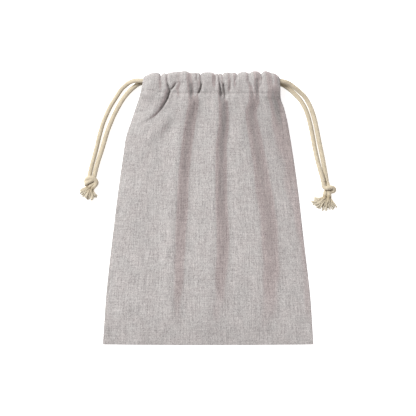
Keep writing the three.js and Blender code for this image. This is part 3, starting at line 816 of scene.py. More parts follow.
# The knots: two cord ends each, tied together in one overhand knot. Where each knot's middle lies on the
# table, and the way of each end through it from where its strand stops, seen from there.
KNOTS = {
    "left": {
        "at": (-0.1110, 0.0250, 0.0),
        "ways": {
            "front": [
                (-0.0023, 0.0050, 0.0031), (-0.0018, 0.0026, 0.0025), (-0.0016, -0.0004, 0.0023),
                (-0.0030, -0.0024, 0.0023), (-0.0046, -0.0028, 0.0031), (-0.0050, -0.0018, 0.0049),
                (-0.0038, -0.0005, 0.0065), (-0.0015, 0.0006, 0.0072), (0.0009, 0.0017, 0.0071),
                (0.0030, 0.0017, 0.0063), (0.0034, 0.0000, 0.0054), (0.0019, -0.0018, 0.0051),
                (-0.0004, -0.0033, 0.0047), (-0.0022, -0.0047, 0.0040),
            ],
            "back": [
                (0.0025, 0.0050, 0.0023), (0.0023, 0.0029, 0.0023), (0.0015, -0.0009, 0.0023),
                (-0.0004, -0.0034, 0.0023), (-0.0030, -0.0036, 0.0023), (-0.0048, -0.0016, 0.0031),
                (-0.0051, 0.0010, 0.0049), (-0.0039, 0.0030, 0.0065), (-0.0016, 0.0038, 0.0073),
                (0.0010, 0.0036, 0.0075), (0.0034, 0.0022, 0.0071), (0.0049, -0.0004, 0.0062),
                (0.0040, -0.0027, 0.0054), (0.0024, -0.0044, 0.0048), (0.0008, -0.0059, 0.0040),
            ],
        },
    },
    "right": {
        "at": (0.1135, 0.0195, 0.0),
        "ways": {
            "front": [
                (-0.0005, 0.0061, 0.0026), (0.0004, 0.0036, 0.0030), (0.0011, 0.0008, 0.0037),
                (0.0015, -0.0022, 0.0044), (0.0018, -0.0046, 0.0043), (0.0020, -0.0066, 0.0038),
                (0.0020, -0.0084, 0.0034),
            ],
            "back": [
                (-0.0039, 0.0059, 0.0062), (-0.0037, 0.0034, 0.0064), (-0.0032, 0.0011, 0.0065),
                (-0.0020, -0.0002, 0.0070), (0.0002, -0.0004, 0.0077), (0.0028, 0.0001, 0.0077),
                (0.0051, 0.0001, 0.0068), (0.0067, -0.0014, 0.0057), (0.0062, -0.0031, 0.0046),
                (0.0040, -0.0036, 0.0037), (0.0012, -0.0028, 0.0027), (-0.0010, -0.0032, 0.0027),
                (-0.0018, -0.0049, 0.0031), (-0.0019, -0.0066, 0.0033), (-0.0019, -0.0084, 0.0033),
            ],
        },
    },
}

# The frayed ends: the way in which each bunch lies, half the angle over which it spreads, its shortest
# and longest yarns, the share of that which its outer ones reach, and the height of the highest tips
TUFTS = {
    "left": {
        "heading": -2.02, "spread": 0.92, "reach": (0.0085, 0.0122), "outer": 0.62, "rise": 0.0042,
        "seed": 11,
    },
    "right": {
        "heading": -2.0, "spread": 0.96, "reach": (0.0095, 0.0142), "outer": 0.88, "rise": 0.0038,
        "seed": 23,
    },
}

STRAND_STEP = 0.0003  # along a cord's mesh
HIDDEN_STEP = 0.0006  # the same inside a casing
KNOT_START = 0.85  # where a knot's cord starts, as a share of its strand's last step
KNOT_STEPS = 16  # between two points of a knot's way


# Nodes and meshes

WEAVE_LIFT = 0.4  # share of a yarn's height that comes from passing over another; its back gives the rest


def colour(code):
    """A linear colour from its six-digit screen value."""
    parts = np.array([int(code[i:i + 2], 16) for i in (0, 2, 4)]) / 255
    linear = np.where(parts <= 0.04045, parts / 12.92, ((parts + 0.055) / 1.055) ** 2.4)
    return tuple(float(part) for part in linear)


def put(socket, value):
    """Joins an output to an input, or sets the input's value."""
    if isinstance(value, bpy.types.NodeSocket):
        socket.id_data.links.new(value, socket)
    else:
        socket.default_value = value


def add(tree, kind, inputs=None, **settings):
    """A node with its settings and its inputs, each named by its title or its number."""
    node = tree.nodes.new(kind)
    for name, value in settings.items():
        setattr(node, name, value)
    for key, value in (inputs or {}).items():
        put(node.inputs[key], value)
    return node


def maths(tree, operation, *values):
    return add(tree, "ShaderNodeMath", dict(enumerate(values)), operation=operation).outputs[0]


def vectors(tree, operation, *values):
    return add(tree, "ShaderNodeVectorMath", dict(enumerate(values)), operation=operation).outputs[0]


def stretched(tree, vector, share):
    inputs = {"Vector": vector, "Scale": share}
    return add(tree, "ShaderNodeVectorMath", inputs, operation="SCALE").outputs[0]


def spread(tree, value, given, wanted=(0.0, 1.0)):
    """A value's given range, laid over the wanted one."""
    return add(tree, "ShaderNodeMapRange", dict(enumerate((value, *given, *wanted)))).outputs[0]


def noise(tree, vector, scale, detail=2.0, roughness=0.5):
    inputs = {"Vector": vector, "Scale": scale, "Detail": detail, "Roughness": roughness}
    return add(tree, "ShaderNodeTexNoise", inputs).outputs[0]


def blend(tree, share, first, second, way="MIX"):
    """Two colours mixed."""
    inputs = {0: share, 6: first, 7: second}
    return add(tree, "ShaderNodeMix", inputs, data_type="RGBA", blend_type=way).outputs[2]


def grey(tree, value):
    return add(tree, "ShaderNodeCombineXYZ", {0: value, 1: value, 2: value}).outputs[0]


def shaded(tree, tone, shade):
    """A colour made darker or lighter by a value around 1."""
    return blend(tree, 1.0, tone, grey(tree, shade), "MULTIPLY")


def new_group(name, kind, inputs, outputs):
    """An empty node group with its sockets, and its input and output nodes' sockets."""
    tree = bpy.data.node_groups.new(name, kind)
    for way, sockets in (("INPUT", inputs), ("OUTPUT", outputs)):
        for title, socket, *default in sockets:
            item = tree.interface.new_socket(name=title, in_out=way, socket_type="NodeSocket" + socket)
            if default:
                item.default_value = default[0]
    return tree, tree.nodes.new("NodeGroupInput").outputs, tree.nodes.new("NodeGroupOutput").inputs


def use_group(tree, group, **inputs):
    """A group placed in a material. An input's title is its keyword with spaces."""
    node = add(tree, "ShaderNodeGroup", node_tree=group)
    for name, value in inputs.items():
        put(node.inputs[name.replace("_", " ").capitalize()], value)
    return node.outputs


def over_under(tree, a, b):
    """The height of a plain weave at a and b, counted in yarns each way, and how much of each set shows.
    Yarns that run along b stand highest where the two sines have the same sign."""
    first = maths(tree, "SINE", maths(tree, "MULTIPLY", a, math.pi))
    second = maths(tree, "SINE", maths(tree, "MULTIPLY", b, math.pi))
    back = 1 - WEAVE_LIFT
    cross = maths(tree, "MULTIPLY", maths(tree, "MULTIPLY", first, second), WEAVE_LIFT)
    run_b = maths(tree, "MULTIPLY_ADD", maths(tree, "ABSOLUTE", first), back, cross)
    run_a = maths(tree, "SUBTRACT", maths(tree, "MULTIPLY", maths(tree, "ABSOLUTE", second), back), cross)
    return maths(tree, "MAXIMUM", run_b, run_a), maths(tree, "GREATER_THAN", run_b, run_a)


def plain_mesh(name, points, faces, places=None):
    """A smooth mesh, with each point's place on the flat cloth as its UV map."""
    mesh = bpy.data.meshes.new(name)
    mesh.from_pydata(points, [], faces)
    mesh.shade_smooth()
    if places is not None:
        corners = np.empty(len(mesh.loops), dtype=np.int32)
        mesh.loops.foreach_get("vertex_index", corners)
        mesh.uv_layers.new(name="UVMap").uv.foreach_set("vector", places[corners].astype(np.float32).ravel())
    return mesh


def store(mesh, title, values):
    """Keeps a number or a vector at each of a mesh's points."""
    values = np.asarray(values, dtype=np.float32)
    kind, field = ("FLOAT", "value") if values.ndim == 1 else ("FLOAT_VECTOR", "vector")
    mesh.attributes.new(title, kind, "POINT").data.foreach_set(field, values.ravel())


def line_mesh(name, lines, **values):
    """Open lines of points as edges, with named values at their points."""
    counts = [len(line) for line in lines]
    starts = np.concatenate([[0], np.cumsum(counts)])
    edges = [(i, i + 1) for start, count in zip(starts, counts) for i in range(start, start + count - 1)]
    mesh = bpy.data.meshes.new(name)
    mesh.from_pydata(np.concatenate(lines).tolist(), edges, [])
    for title, numbers in values.items():
        store(mesh, title, numbers)
    return mesh


def new_piece(name, mesh):
    piece = bpy.data.objects.new(name, mesh)
    bpy.context.scene.collection.objects.link(piece)
    return piece


def grow(piece, tree, **inputs):
    """Replaces a piece's lines with the mesh that a tree makes from them."""
    modifier = piece.modifiers.new("Made", "NODES")
    modifier.node_group = tree
    for item in tree.interface.items_tree:
        if item.in_out == "INPUT" and item.name in inputs:
            modifier[item.identifier] = inputs[item.name]
    depsgraph = bpy.context.evaluated_depsgraph_get()
    mesh = bpy.data.meshes.new_from_object(piece.evaluated_get(depsgraph), depsgraph=depsgraph)
    piece.modifiers.clear()
    lines = piece.data
    piece.data = mesh
    bpy.data.meshes.remove(lines)
    mesh.name = piece.name
    return piece


def smooth_line(points, steps=24):
    """A curve through given points, with even steps between each two of them."""
    points = np.array(points, dtype=float)
    ends = np.concatenate([[2 * points[0] - points[1]], points, [2 * points[-1] - points[-2]]])
    share = (np.arange(steps) / steps)[:, None]
    line = []
    for before, here, there, after in zip(ends, ends[1:], ends[2:], ends[3:]):
        slope, next_slope = (there - before) / 2, (after - here) / 2
        rise = there - here
        line.append(
            here + slope * share
            + (3 * rise - 2 * slope - next_slope) * share**2
            + (slope + next_slope - 2 * rise) * share**3
        )
    return np.concatenate([*line, points[-1:]])


# Materials

# A noise's scale is in waves a metre, and a pair of numbers is a range
WHOLE = (0.0, 1.0)
NOISE_RANGE = (0.3, 0.7)  # where nearly all of a noise lies
COTTON_SPECULAR = 0.25
COTTON_SHEEN_ROUGHNESS = 0.55

# The weave: how unevenly its yarns lie, and the noise that gives each yarn its own tone
WANDER_SCALE = 130.0
YARN_APART = 7.31  # in that noise, so that neighbours differ
TONE_DETAIL = 3.0
TONE_ROUGHNESS = 0.8
TONE_RANGE = (0.34, 0.66)

# The yarns along the pouch and those across it: how fast a yarn's tone changes along it, where its noise
# starts, the range of its own tones, the scale of its thick places, and how far those change its tone
YARN_SETS = (
    {"rate": 1.0, "start": 3.1, "own": (0.05, 0.95), "slubs": (1100.0, 42.0, 1.0), "slub_share": 0.34},
    {"rate": 1.6, "start": 57.9, "own": (0.18, 0.82), "slubs": (60.0, 1100.0, 1.0), "slub_share": 0.24},
)

# Loose fibres: the way they lie, how much longer than wide they are, and the size of their specks
FIBRE_TURN = (0.4, 0.3, 0.7)
FIBRE_STRETCH = (1.0, 0.35, 1.0)
FIBRE_DETAIL = 3.0
SPECK_SIZE = 0.3
SPECK_RANGE = (0.25, 0.75)
FIBRE_SCALES = {"cloth": 2600.0, "cord": 3000.0, "frayed": 4200.0, "thread": 5200.0}

# The cloth: its rosy patches, its clouds of tone, and painted shade in the hollows between yarns
PATCH_NOISE = (75.0, 1.5, 0.4)
PATCH_RANGE = (0.38, 0.62)
PATCH_SHARE = (0.0, 0.2)
CLOTH_CLOUD_SCALE = 34.0
CLOTH_CLOUD_SHADE = (0.96, 1.04)
PAINTED_HOLLOW_RANGE = (0.05, 0.75)
PAINTED_HOLLOW_SHADE = (0.72, 1.06)
CLOTH_SPECK_SHADE = (0.97, 1.03)
CLOTH_ROUGHNESS = (0.95, 0.86)
CLOTH_SHEEN = 0.15
FIBRE_SHARE = 0.25  # of the weave's relief

# The cord
# Painted shade: the range of painted lightness over which the cotton goes from tan to pale
PAINTED_LIGHTNESS_RANGE = (0.1, 0.75)
CORD_CLOUD_SCALE = 260.0
CORD_CLOUD_DETAIL = 3.0
CORD_CLOUD_SHADE = (0.88, 1.06)
CORD_SPECK_SHADE = (0.90, 1.06)
CORD_ROUGHNESS = (0.92, 0.82)
CORD_SHEEN = 0.2
CORD_FIBRE_RELIEF = 0.00012

# The sewing thread
THREAD_SPECK_SHADE = (0.88, 1.08)
THREAD_ROUGHNESS = (0.85, 0.72)
THREAD_SHEEN = 0.1
THREAD_RELIEF = 0.00005

# The floor
GRAIN_SCALE = 400.0
GRAIN_DETAIL = 3.0
GRAIN_TONE = (0.90, 0.92)
FLOOR_ROUGHNESS = 0.95


def weave_group():
    """Plain weave on a flat cloth: its height, and the tone of the yarn on top."""
    tree, entry, leave = new_group(
        "Plain weave", "ShaderNodeTree",
        [("Place", "Vector"), ("Spacing", "Float", 0.0007), ("Streak", "Float", 0.0028)],
        [("Height", "Float"), ("Tone", "Float")],
    )
    inputs = {"Vector": entry["Place"], "Scale": WANDER_SCALE, "Detail": 2.0}
    wander = add(tree, "ShaderNodeTexNoise", inputs)
    shift = vectors(tree, "SUBTRACT", wander.outputs["Color"], (0.5, 0.5, 0.5))
    counted = stretched(tree, entry["Place"], maths(tree, "DIVIDE", 1.0, entry["Spacing"]))
    yarns = add(tree, "ShaderNodeSeparateXYZ", {0: vectors(tree, "ADD", counted, shift)}).outputs
    flat = add(tree, "ShaderNodeSeparateXYZ", {0: entry["Place"]}).outputs
    height, lengthwise = over_under(tree, yarns[0], yarns[1])
    tones = []
    for yarn, run, kind in zip(yarns, (flat[1], flat[0]), YARN_SETS):
        number = maths(tree, "MULTIPLY", maths(tree, "FLOOR", yarn), YARN_APART)
        along = maths(tree, "DIVIDE", maths(tree, "MULTIPLY", run, kind["rate"]), entry["Streak"])
        place = add(tree, "ShaderNodeCombineXYZ", {0: number, 1: along, 2: kind["start"]}).outputs[0]
        own = spread(tree, noise(tree, place, 1.0, TONE_DETAIL, TONE_ROUGHNESS), TONE_RANGE, kind["own"])
        thick = noise(tree, vectors(tree, "MULTIPLY", entry["Place"], kind["slubs"]), 1.0)
        share = kind["slub_share"]
        tones.append(maths(tree, "ADD", own, spread(tree, thick, NOISE_RANGE, (-share, share))))
    put(leave["Height"], height)
    put(leave["Tone"], add(tree, "ShaderNodeMix", {0: lengthwise, 2: tones[1], 3: tones[0]}).outputs[0])
    return tree


def fibre_group():
    """Loose fibres on cotton: fine relief, and lighter and darker specks."""
    tree, entry, leave = new_group(
        "Cotton fibres", "ShaderNodeTree",
        [("Place", "Vector"), ("Scale", "Float", 3000.0)],
        [("Height", "Float"), ("Speck", "Float")],
    )
    inputs = {"Vector": entry["Place"], "Rotation": FIBRE_TURN, "Scale": FIBRE_STRETCH}
    turned = add(tree, "ShaderNodeMapping", inputs).outputs[0]
    put(leave["Height"], noise(tree, turned, entry["Scale"], FIBRE_DETAIL))
    speck_scale = maths(tree, "MULTIPLY", entry["Scale"], SPECK_SIZE)
    put(leave["Speck"], spread(tree, noise(tree, entry["Place"], speck_scale), SPECK_RANGE))
    return tree


def matt_cotton(name, sheen):
    """A material with a matt cotton surface: its tree and its shader's inputs."""
    material = bpy.data.materials.new(name)
    material.use_nodes = True
    tree = material.node_tree
    shader = tree.nodes["Principled BSDF"].inputs
    shader["Specular IOR Level"].default_value = COTTON_SPECULAR
    shader["Sheen Weight"].default_value = sheen
    shader["Sheen Roughness"].default_value = COTTON_SHEEN_ROUGHNESS
    return material, tree, shader


def relief(tree, shader, height, distance):
    inputs = {"Strength": 1.0, "Distance": distance, "Height": height}
    put(shader["Normal"], add(tree, "ShaderNodeBump", inputs).outputs[0])


def cloth_material(cloth, weave, fibres):
    """Warm grey plain weave, each yarn a little lighter or darker than the next, in faint rosy patches, with
    painted rosy shade on the side of its folds that falls away from the lamp and painted shade in the
    hollows between yarns."""
    material, tree, shader = matt_cotton("woven_cloth", CLOTH_SHEEN)
    flat = add(tree, "ShaderNodeUVMap", uv_map="UVMap").outputs[0]
    place = add(tree, "ShaderNodeTexCoord").outputs["Object"]
    woven = use_group(tree, weave, place=flat, spacing=cloth.yarn_spacing, streak=cloth.streak)
    loose = use_group(tree, fibres, place=place, scale=FIBRE_SCALES["cloth"])
    yarn = blend(tree, woven["Tone"], (*cloth.dark_yarn, 1.0), (*cloth.light_yarn, 1.0))
    patch = spread(tree, noise(tree, flat, *PATCH_NOISE), PATCH_RANGE, PATCH_SHARE)
    # Painted shade: the side of each fold that falls away from the lamp takes the rosy tint, as the random
    # patches do
    painted_lee_shade = add(tree, "ShaderNodeAttribute", attribute_name="painted_lee_shade").outputs["Fac"]
    yarn = blend(tree, maths(tree, "MAXIMUM", patch, painted_lee_shade), yarn, (*cloth.rosy_patch_and_painted_shade_tint, 1.0), "MULTIPLY")
    cloud = spread(tree, noise(tree, flat, CLOTH_CLOUD_SCALE), NOISE_RANGE, CLOTH_CLOUD_SHADE)
    # Painted shade: the hollows between yarns are darker
    painted_hollow_shade = spread(tree, woven["Height"], PAINTED_HOLLOW_RANGE, PAINTED_HOLLOW_SHADE)
    speck = spread(tree, loose["Speck"], WHOLE, CLOTH_SPECK_SHADE)
    shade = maths(tree, "MULTIPLY", maths(tree, "MULTIPLY", cloud, painted_hollow_shade), speck)
    put(shader["Base Color"], shaded(tree, yarn, shade))
    put(shader["Roughness"], spread(tree, woven["Tone"], WHOLE, CLOTH_ROUGHNESS))
    height = maths(tree, "MULTIPLY_ADD", loose["Height"], FIBRE_SHARE, woven["Height"])
    relief(tree, shader, height, cloth.weave_relief)
    return material


def cord_material(name, cord, fibres, scale):
    """Natural cotton, pale on top of the plaited strands, with painted shade that turns it tan in the
    grooves between them.
    """
    material, tree, shader = matt_cotton(name, CORD_SHEEN)
    place = add(tree, "ShaderNodeTexCoord").outputs["Object"]
    groove = add(tree, "ShaderNodeAttribute", attribute_name="groove").outputs["Fac"]
    loose = use_group(tree, fibres, place=place, scale=scale)
    # Painted shade: the cotton is tan where the painted lightness is low, in the grooves between strands
    shown = spread(tree, groove, PAINTED_LIGHTNESS_RANGE)
    tone = blend(tree, shown, (*cord.groove_colour, 1.0), (*cord.colour, 1.0))
    clouds = noise(tree, place, CORD_CLOUD_SCALE, CORD_CLOUD_DETAIL)
    cloud = spread(tree, clouds, NOISE_RANGE, CORD_CLOUD_SHADE)
    speck = spread(tree, loose["Speck"], WHOLE, CORD_SPECK_SHADE)
    put(shader["Base Color"], shaded(tree, tone, maths(tree, "MULTIPLY", cloud, speck)))
    put(shader["Roughness"], spread(tree, loose["Speck"], WHOLE, CORD_ROUGHNESS))
    relief(tree, shader, loose["Height"], CORD_FIBRE_RELIEF)
    return material


def thread_material(stitch, fibres):
    """Sewing thread, a little lighter than the cloth, with its fine twist."""
    material, tree, shader = matt_cotton("sewing_thread", THREAD_SHEEN)
    place = add(tree, "ShaderNodeTexCoord").outputs["Object"]
    loose = use_group(tree, fibres, place=place, scale=FIBRE_SCALES["thread"])
    speck = spread(tree, loose["Speck"], WHOLE, THREAD_SPECK_SHADE)
    put(shader["Base Color"], shaded(tree, (*stitch.colour, 1.0), speck))
    put(shader["Roughness"], spread(tree, loose["Speck"], WHOLE, THREAD_ROUGHNESS))
    relief(tree, shader, loose["Height"], THREAD_RELIEF)
    return material


def floor_material(stage):
    """Pale matt paper with a faint grain."""
    material = bpy.data.materials.new("pale_floor")
    material.use_nodes = True
    tree = material.node_tree
    shader = tree.nodes["Principled BSDF"].inputs
    place = add(tree, "ShaderNodeTexCoord").outputs["Object"]
    grain = spread(tree, noise(tree, place, GRAIN_SCALE, GRAIN_DETAIL), NOISE_RANGE, GRAIN_TONE)
    put(shader["Base Color"], grey(tree, grain))
    shader["Roughness"].default_value = FLOOR_ROUGHNESS
    shader["Specular IOR Level"].default_value = 0.0
    shader["Emission Color"].default_value = (1.0, 1.0, 1.0, 1.0)
    shader["Emission Strength"].default_value = stage.floor_glow
    return material


def shared(name, make):
    """A node group or material that is made once and used by more than one operator."""
    found = bpy.data.node_groups.get(name) or bpy.data.materials.get(name)
    return found or make()


# Geometry Nodes

OPENING_START = 0.62  # share of a frayed yarn's length from which its plies open
PLY_PLACE = 0.52  # of a ply's middle, off its yarn's, as a share of the yarn's radius
PLY_RADIUS = (0.56, 0.46)  # a ply's radius at its start and at its tip, as shares of the yarn's
SPINDLE = {"Segments": 8, "Rings": 6, "Radius": 0.5}  # one stitch, before it gets its size
SMALLEST_STITCH = (0.85, 0.85, 0.85)  # how unevenly long, wide and high the stitches are
LARGEST_STITCH = (1.12, 1.1, 1.1)


def even_curves(tree, entry, spacing, **settings):
    """The lines that a tree is given, as curves with even points."""
    curve = add(tree, "GeometryNodeMeshToCurve", {0: entry["Lines"]}).outputs[0]
    return add(tree, "GeometryNodeResampleCurve", {0: curve, **spacing}, **settings).outputs[0]


def plaited_tree():
    """A plaited cord along each line: strands cross over and under each other around it."""
    tree, entry, leave = new_group(
        "Plaited cord", "GeometryNodeTree",
        [
            ("Lines", "Geometry"), ("Radius", "Float", 0.00225), ("Relief", "Float", 0.00022),
            ("Strands", "Int", 10), ("Crossings per metre", "Float", 430.0),
            ("Sides", "Int", 48), ("Step", "Float", 0.0003), ("Material", "Material"),
        ],
        [("Cord", "Geometry")],
    )
    curve = even_curves(tree, entry, {"Length": entry["Step"]}, mode="LENGTH")
    section = {"Resolution": entry["Sides"], "Radius": entry["Radius"]}
    ring = add(tree, "GeometryNodeCurvePrimitiveCircle", section).outputs[0]
    kept = []
    for title, geometry, output in (("Along", curve, "Length"), ("Around", ring, "Factor")):
        capture = add(tree, "GeometryNodeCaptureAttribute")
        capture.capture_items.new("FLOAT", title)
        put(capture.inputs[0], geometry)
        put(capture.inputs[1], add(tree, "GeometryNodeSplineParameter").outputs[output])
        kept.append(capture.outputs)
    (curve, along), (ring, around) = ((outputs[0], outputs[1]) for outputs in kept)
    inputs = {"Curve": curve, "Profile Curve": ring, "Fill Caps": True}
    cord = add(tree, "GeometryNodeCurveToMesh", inputs).outputs[0]
    turned = maths(tree, "MULTIPLY", around, entry["Strands"])
    passed = maths(tree, "MULTIPLY", along, entry["Crossings per metre"])
    one_way = maths(tree, "ADD", turned, passed)
    other_way = maths(tree, "SUBTRACT", turned, passed)
    height, _ = over_under(tree, one_way, other_way)
    depth = maths(tree, "MULTIPLY", maths(tree, "SUBTRACT", height, 1.0), entry["Relief"])
    offset = stretched(tree, add(tree, "GeometryNodeInputNormal").outputs[0], depth)
    cord = add(tree, "GeometryNodeSetPosition", {0: cord, "Offset": offset}).outputs[0]
    # The plait's height, kept for the material's painted shade in the grooves between strands
    inputs = {0: cord, "Name": "groove", "Value": height}
    cord = add(tree, "GeometryNodeStoreNamedAttribute", inputs).outputs[0]
    finish_tree(tree, cord, entry, leave)
    return tree


def frayed_tree():
    """A plied yarn along each line, its plies opening towards its tip."""
    tree, entry, leave = new_group(
        "Frayed yarn", "GeometryNodeTree",
        [
            ("Lines", "Geometry"), ("Plies", "Int", 3), ("Twists per metre", "Float", 260.0),
            ("Opening", "Float", 0.8), ("Steps", "Int", 26), ("Sides", "Int", 6), ("Material", "Material"),
        ],
        [("Yarns", "Geometry")],
    )
    plies = {0: even_curves(tree, entry, {"Count": entry["Steps"]}), "Amount": entry["Plies"]}
    copies = add(tree, "GeometryNodeDuplicateElements", plies, domain="SPLINE")
    thickness = add(tree, "GeometryNodeInputNamedAttribute", {0: "thickness"}).outputs[0]
    spline = add(tree, "GeometryNodeSplineParameter").outputs
    tip = spread(tree, spline["Factor"], (OPENING_START, 1.0))
    share = maths(tree, "DIVIDE", copies.outputs[1], entry["Plies"])
    turns = maths(tree, "MULTIPLY_ADD", spline["Length"], entry["Twists per metre"], share)
    angle = maths(tree, "MULTIPLY", turns, 2 * math.pi)
    normal = add(tree, "GeometryNodeInputNormal").outputs[0]
    tangent = add(tree, "GeometryNodeInputTangent").outputs[0]
    side = vectors(tree, "CROSS_PRODUCT", tangent, normal)
    offset = vectors(
        tree, "ADD",
        stretched(tree, normal, maths(tree, "COSINE", angle)),
        stretched(tree, side, maths(tree, "SINE", angle)),
    )
    opened = maths(tree, "MULTIPLY_ADD", tip, entry["Opening"], 1.0)
    reach = maths(tree, "MULTIPLY", maths(tree, "MULTIPLY", thickness, PLY_PLACE), opened)
    inputs = {0: copies.outputs[0], "Offset": stretched(tree, offset, reach)}
    curve = add(tree, "GeometryNodeSetPosition", inputs).outputs[0]
    inputs = {"Resolution": entry["Sides"], "Radius": 1.0}
    ring = add(tree, "GeometryNodeCurvePrimitiveCircle", inputs).outputs[0]
    thin = maths(tree, "MULTIPLY", thickness, spread(tree, tip, WHOLE, PLY_RADIUS))
    inputs = {"Curve": curve, "Profile Curve": ring, "Scale": thin, "Fill Caps": True}
    finish_tree(tree, add(tree, "GeometryNodeCurveToMesh", inputs).outputs[0], entry, leave)
    return tree


def stitch_tree():
    """Stitches in a row: a short spindle of thread at each step along a line, lying on the cloth."""
    tree, entry, leave = new_group(
        "Row of stitches", "GeometryNodeTree",
        [
            ("Lines", "Geometry"), ("Pitch", "Float", 0.0028), ("Stitch length", "Float", 0.0019),
            ("Thread", "Float", 0.0004), ("Seed", "Int", 3), ("Material", "Material"),
        ],
        [("Stitches", "Geometry")],
    )
    curve = even_curves(tree, entry, {"Length": entry["Pitch"]}, mode="LENGTH")
    spindle = add(tree, "GeometryNodeMeshUVSphere", SPINDLE).outputs[0]
    upright = (0.0, math.pi / 2, 0.0)
    spindle = add(tree, "GeometryNodeTransform", {"Geometry": spindle, "Rotation": upright}).outputs[0]
    tangent = add(tree, "GeometryNodeInputTangent").outputs[0]
    named = add(tree, "GeometryNodeInputNamedAttribute", {0: "facing"}, data_type="FLOAT_VECTOR")
    inputs = {"Primary Axis": tangent, "Secondary Axis": named.outputs[0]}
    turn = add(tree, "FunctionNodeAxesToRotation", inputs, primary_axis="X", secondary_axis="Z").outputs[0]
    inputs = {0: SMALLEST_STITCH, 1: LARGEST_STITCH, "Seed": entry["Seed"]}
    uneven = add(tree, "FunctionNodeRandomValue", inputs, data_type="FLOAT_VECTOR").outputs[0]
    inputs = {0: entry["Stitch length"], 1: entry["Thread"], 2: entry["Thread"]}
    size = add(tree, "ShaderNodeCombineXYZ", inputs).outputs[0]
    scale = vectors(tree, "MULTIPLY", size, uneven)
    inputs = {"Points": curve, "Instance": spindle, "Rotation": turn, "Scale": scale}
    finish_tree(tree, add(tree, "GeometryNodeInstanceOnPoints", inputs).outputs[0], entry, leave)
    return tree


def finish_tree(tree, geometry, entry, leave):
    """Every tree ends alike: plain smooth geometry in the material that it is given."""
    geometry = add(tree, "GeometryNodeRealizeInstances", {0: geometry}).outputs[0]
    geometry = add(tree, "GeometryNodeSetShadeSmooth", {0: geometry}).outputs[0]
    inputs = {"Geometry": geometry, "Material": entry["Material"]}
    put(leave[0], add(tree, "GeometryNodeSetMaterial", inputs).outputs[0])


# What a user may change


class PouchStage(bpy.types.PropertyGroup):
    """The camera straight over the pouch, the lamp at its upper left and the pale floor."""

    view_width: bpy.props.FloatProperty(
        name="View width", description="Width of the table that the camera takes in",
        default=0.3957, unit="LENGTH",
    )
    lens: bpy.props.FloatProperty(
        name="Lens", description="Focal length, long enough to see the pouch without perspective",
        default=200.0, unit="CAMERA",
    )
    lamp_power: bpy.props.FloatProperty(
        name="Lamp power", description="Power of the large soft lamp", default=2010.0, unit="POWER",
    )
    fill: bpy.props.FloatProperty(
        name="Fill", description="Strength of the even light from all around", default=0.4,
    )
    floor_glow: bpy.props.FloatProperty(
        name="Floor glow", description="Light that the pale floor adds, so that it stays white",
        default=0.7,
    )


class PouchCloth(bpy.types.PropertyGroup):
    """The plain-woven cloth."""

    thickness: bpy.props.FloatProperty(
        name="Thickness", description="Thickness of one layer", default=0.0006, unit="LENGTH",
    )
    yarn_spacing: bpy.props.FloatProperty(
        name="Yarn spacing", description="From one yarn to the next", default=0.00070, unit="LENGTH",
    )
    streak: bpy.props.FloatProperty(
        name="Streak", description="Length over which a yarn keeps its tone",
        default=0.0028, unit="LENGTH",
    )
    weave_relief: bpy.props.FloatProperty(
        name="Weave relief", description="Height of a yarn over its neighbours",
        default=0.00016, unit="LENGTH",
    )
    light_yarn: bpy.props.FloatVectorProperty(
        name="Light yarn", description="Colour of the lightest yarns",
        default=colour("c9c7c4"), subtype="COLOR",
    )
    dark_yarn: bpy.props.FloatVectorProperty(
        name="Dark yarn", description="Colour of the darkest yarns",
        default=colour("7c7978"), subtype="COLOR",
    )
    # Painted rosy shade on the side of the folds that falls away from the lamp, and the tint of the faint
    # rosy patches
    rosy_patch_and_painted_shade_tint: bpy.props.FloatVectorProperty(
        name="Rosy tint", description="Tint of the cloth on the shaded side of its folds",
        default=colour("fff5f5"), subtype="COLOR",
    )


class PouchCord(bpy.types.PropertyGroup):
    """The plaited cotton drawcords and their knots."""

    diameter: bpy.props.FloatProperty(
        name="Diameter", description="Diameter of a drawcord", default=0.0045, unit="LENGTH",
    )
    knot_diameter: bpy.props.FloatProperty(
        name="Diameter in a knot", description="Diameter of a cord where a knot squeezes it",
        default=0.0042, unit="LENGTH",
    )
    relief: bpy.props.FloatProperty(
        name="Relief", description="Depth of the grooves between strands",
        default=0.00030, unit="LENGTH",
    )
    strands: bpy.props.IntProperty(
        name="Strands", description="Strands that wind each way around a cord", default=10,
    )
    crossings: bpy.props.FloatProperty(
        name="Crossings", description="How often strands cross along a metre", default=430.0,
    )
    colour: bpy.props.FloatVectorProperty(
        name="Colour", description="Natural cotton", default=colour("cbc3ae"), subtype="COLOR",
    )
    # Painted shade: the tan of the grooves between strands, and of the frayed yarns near the knot
    groove_colour: bpy.props.FloatVectorProperty(
        name="Groove colour", description="Cotton between the strands",
        default=colour("9c8a68"), subtype="COLOR",
    )


class PouchTuft(bpy.types.PropertyGroup):
    """The frayed ends of the cords."""

    yarns: bpy.props.IntProperty(name="Yarns", description="Yarns in one tuft", default=60)
    wisps: bpy.props.IntProperty(name="Wisps", description="Fine loose fibres in one tuft", default=60)
    yarn: bpy.props.FloatProperty(
        name="Yarn", description="Radius of a plied yarn", default=0.00060, unit="LENGTH",
    )
    wisp: bpy.props.FloatProperty(
        name="Wisp", description="Radius of a loose fibre", default=0.00007, unit="LENGTH",
    )


class PouchStitch(bpy.types.PropertyGroup):
    """The casings' rows of stitches."""

    pitch: bpy.props.FloatProperty(
        name="Pitch", description="From one stitch to the next", default=0.0027, unit="LENGTH",
    )
    length: bpy.props.FloatProperty(
        name="Length", description="Length of thread that shows", default=0.0020, unit="LENGTH",
    )
    thread: bpy.props.FloatProperty(
        name="Thread", description="Thickness of the thread", default=0.00042, unit="LENGTH",
    )
    colour: bpy.props.FloatVectorProperty(
        name="Colour", description="Sewing thread", default=colour("c9c3bf"), subtype="COLOR",
    )


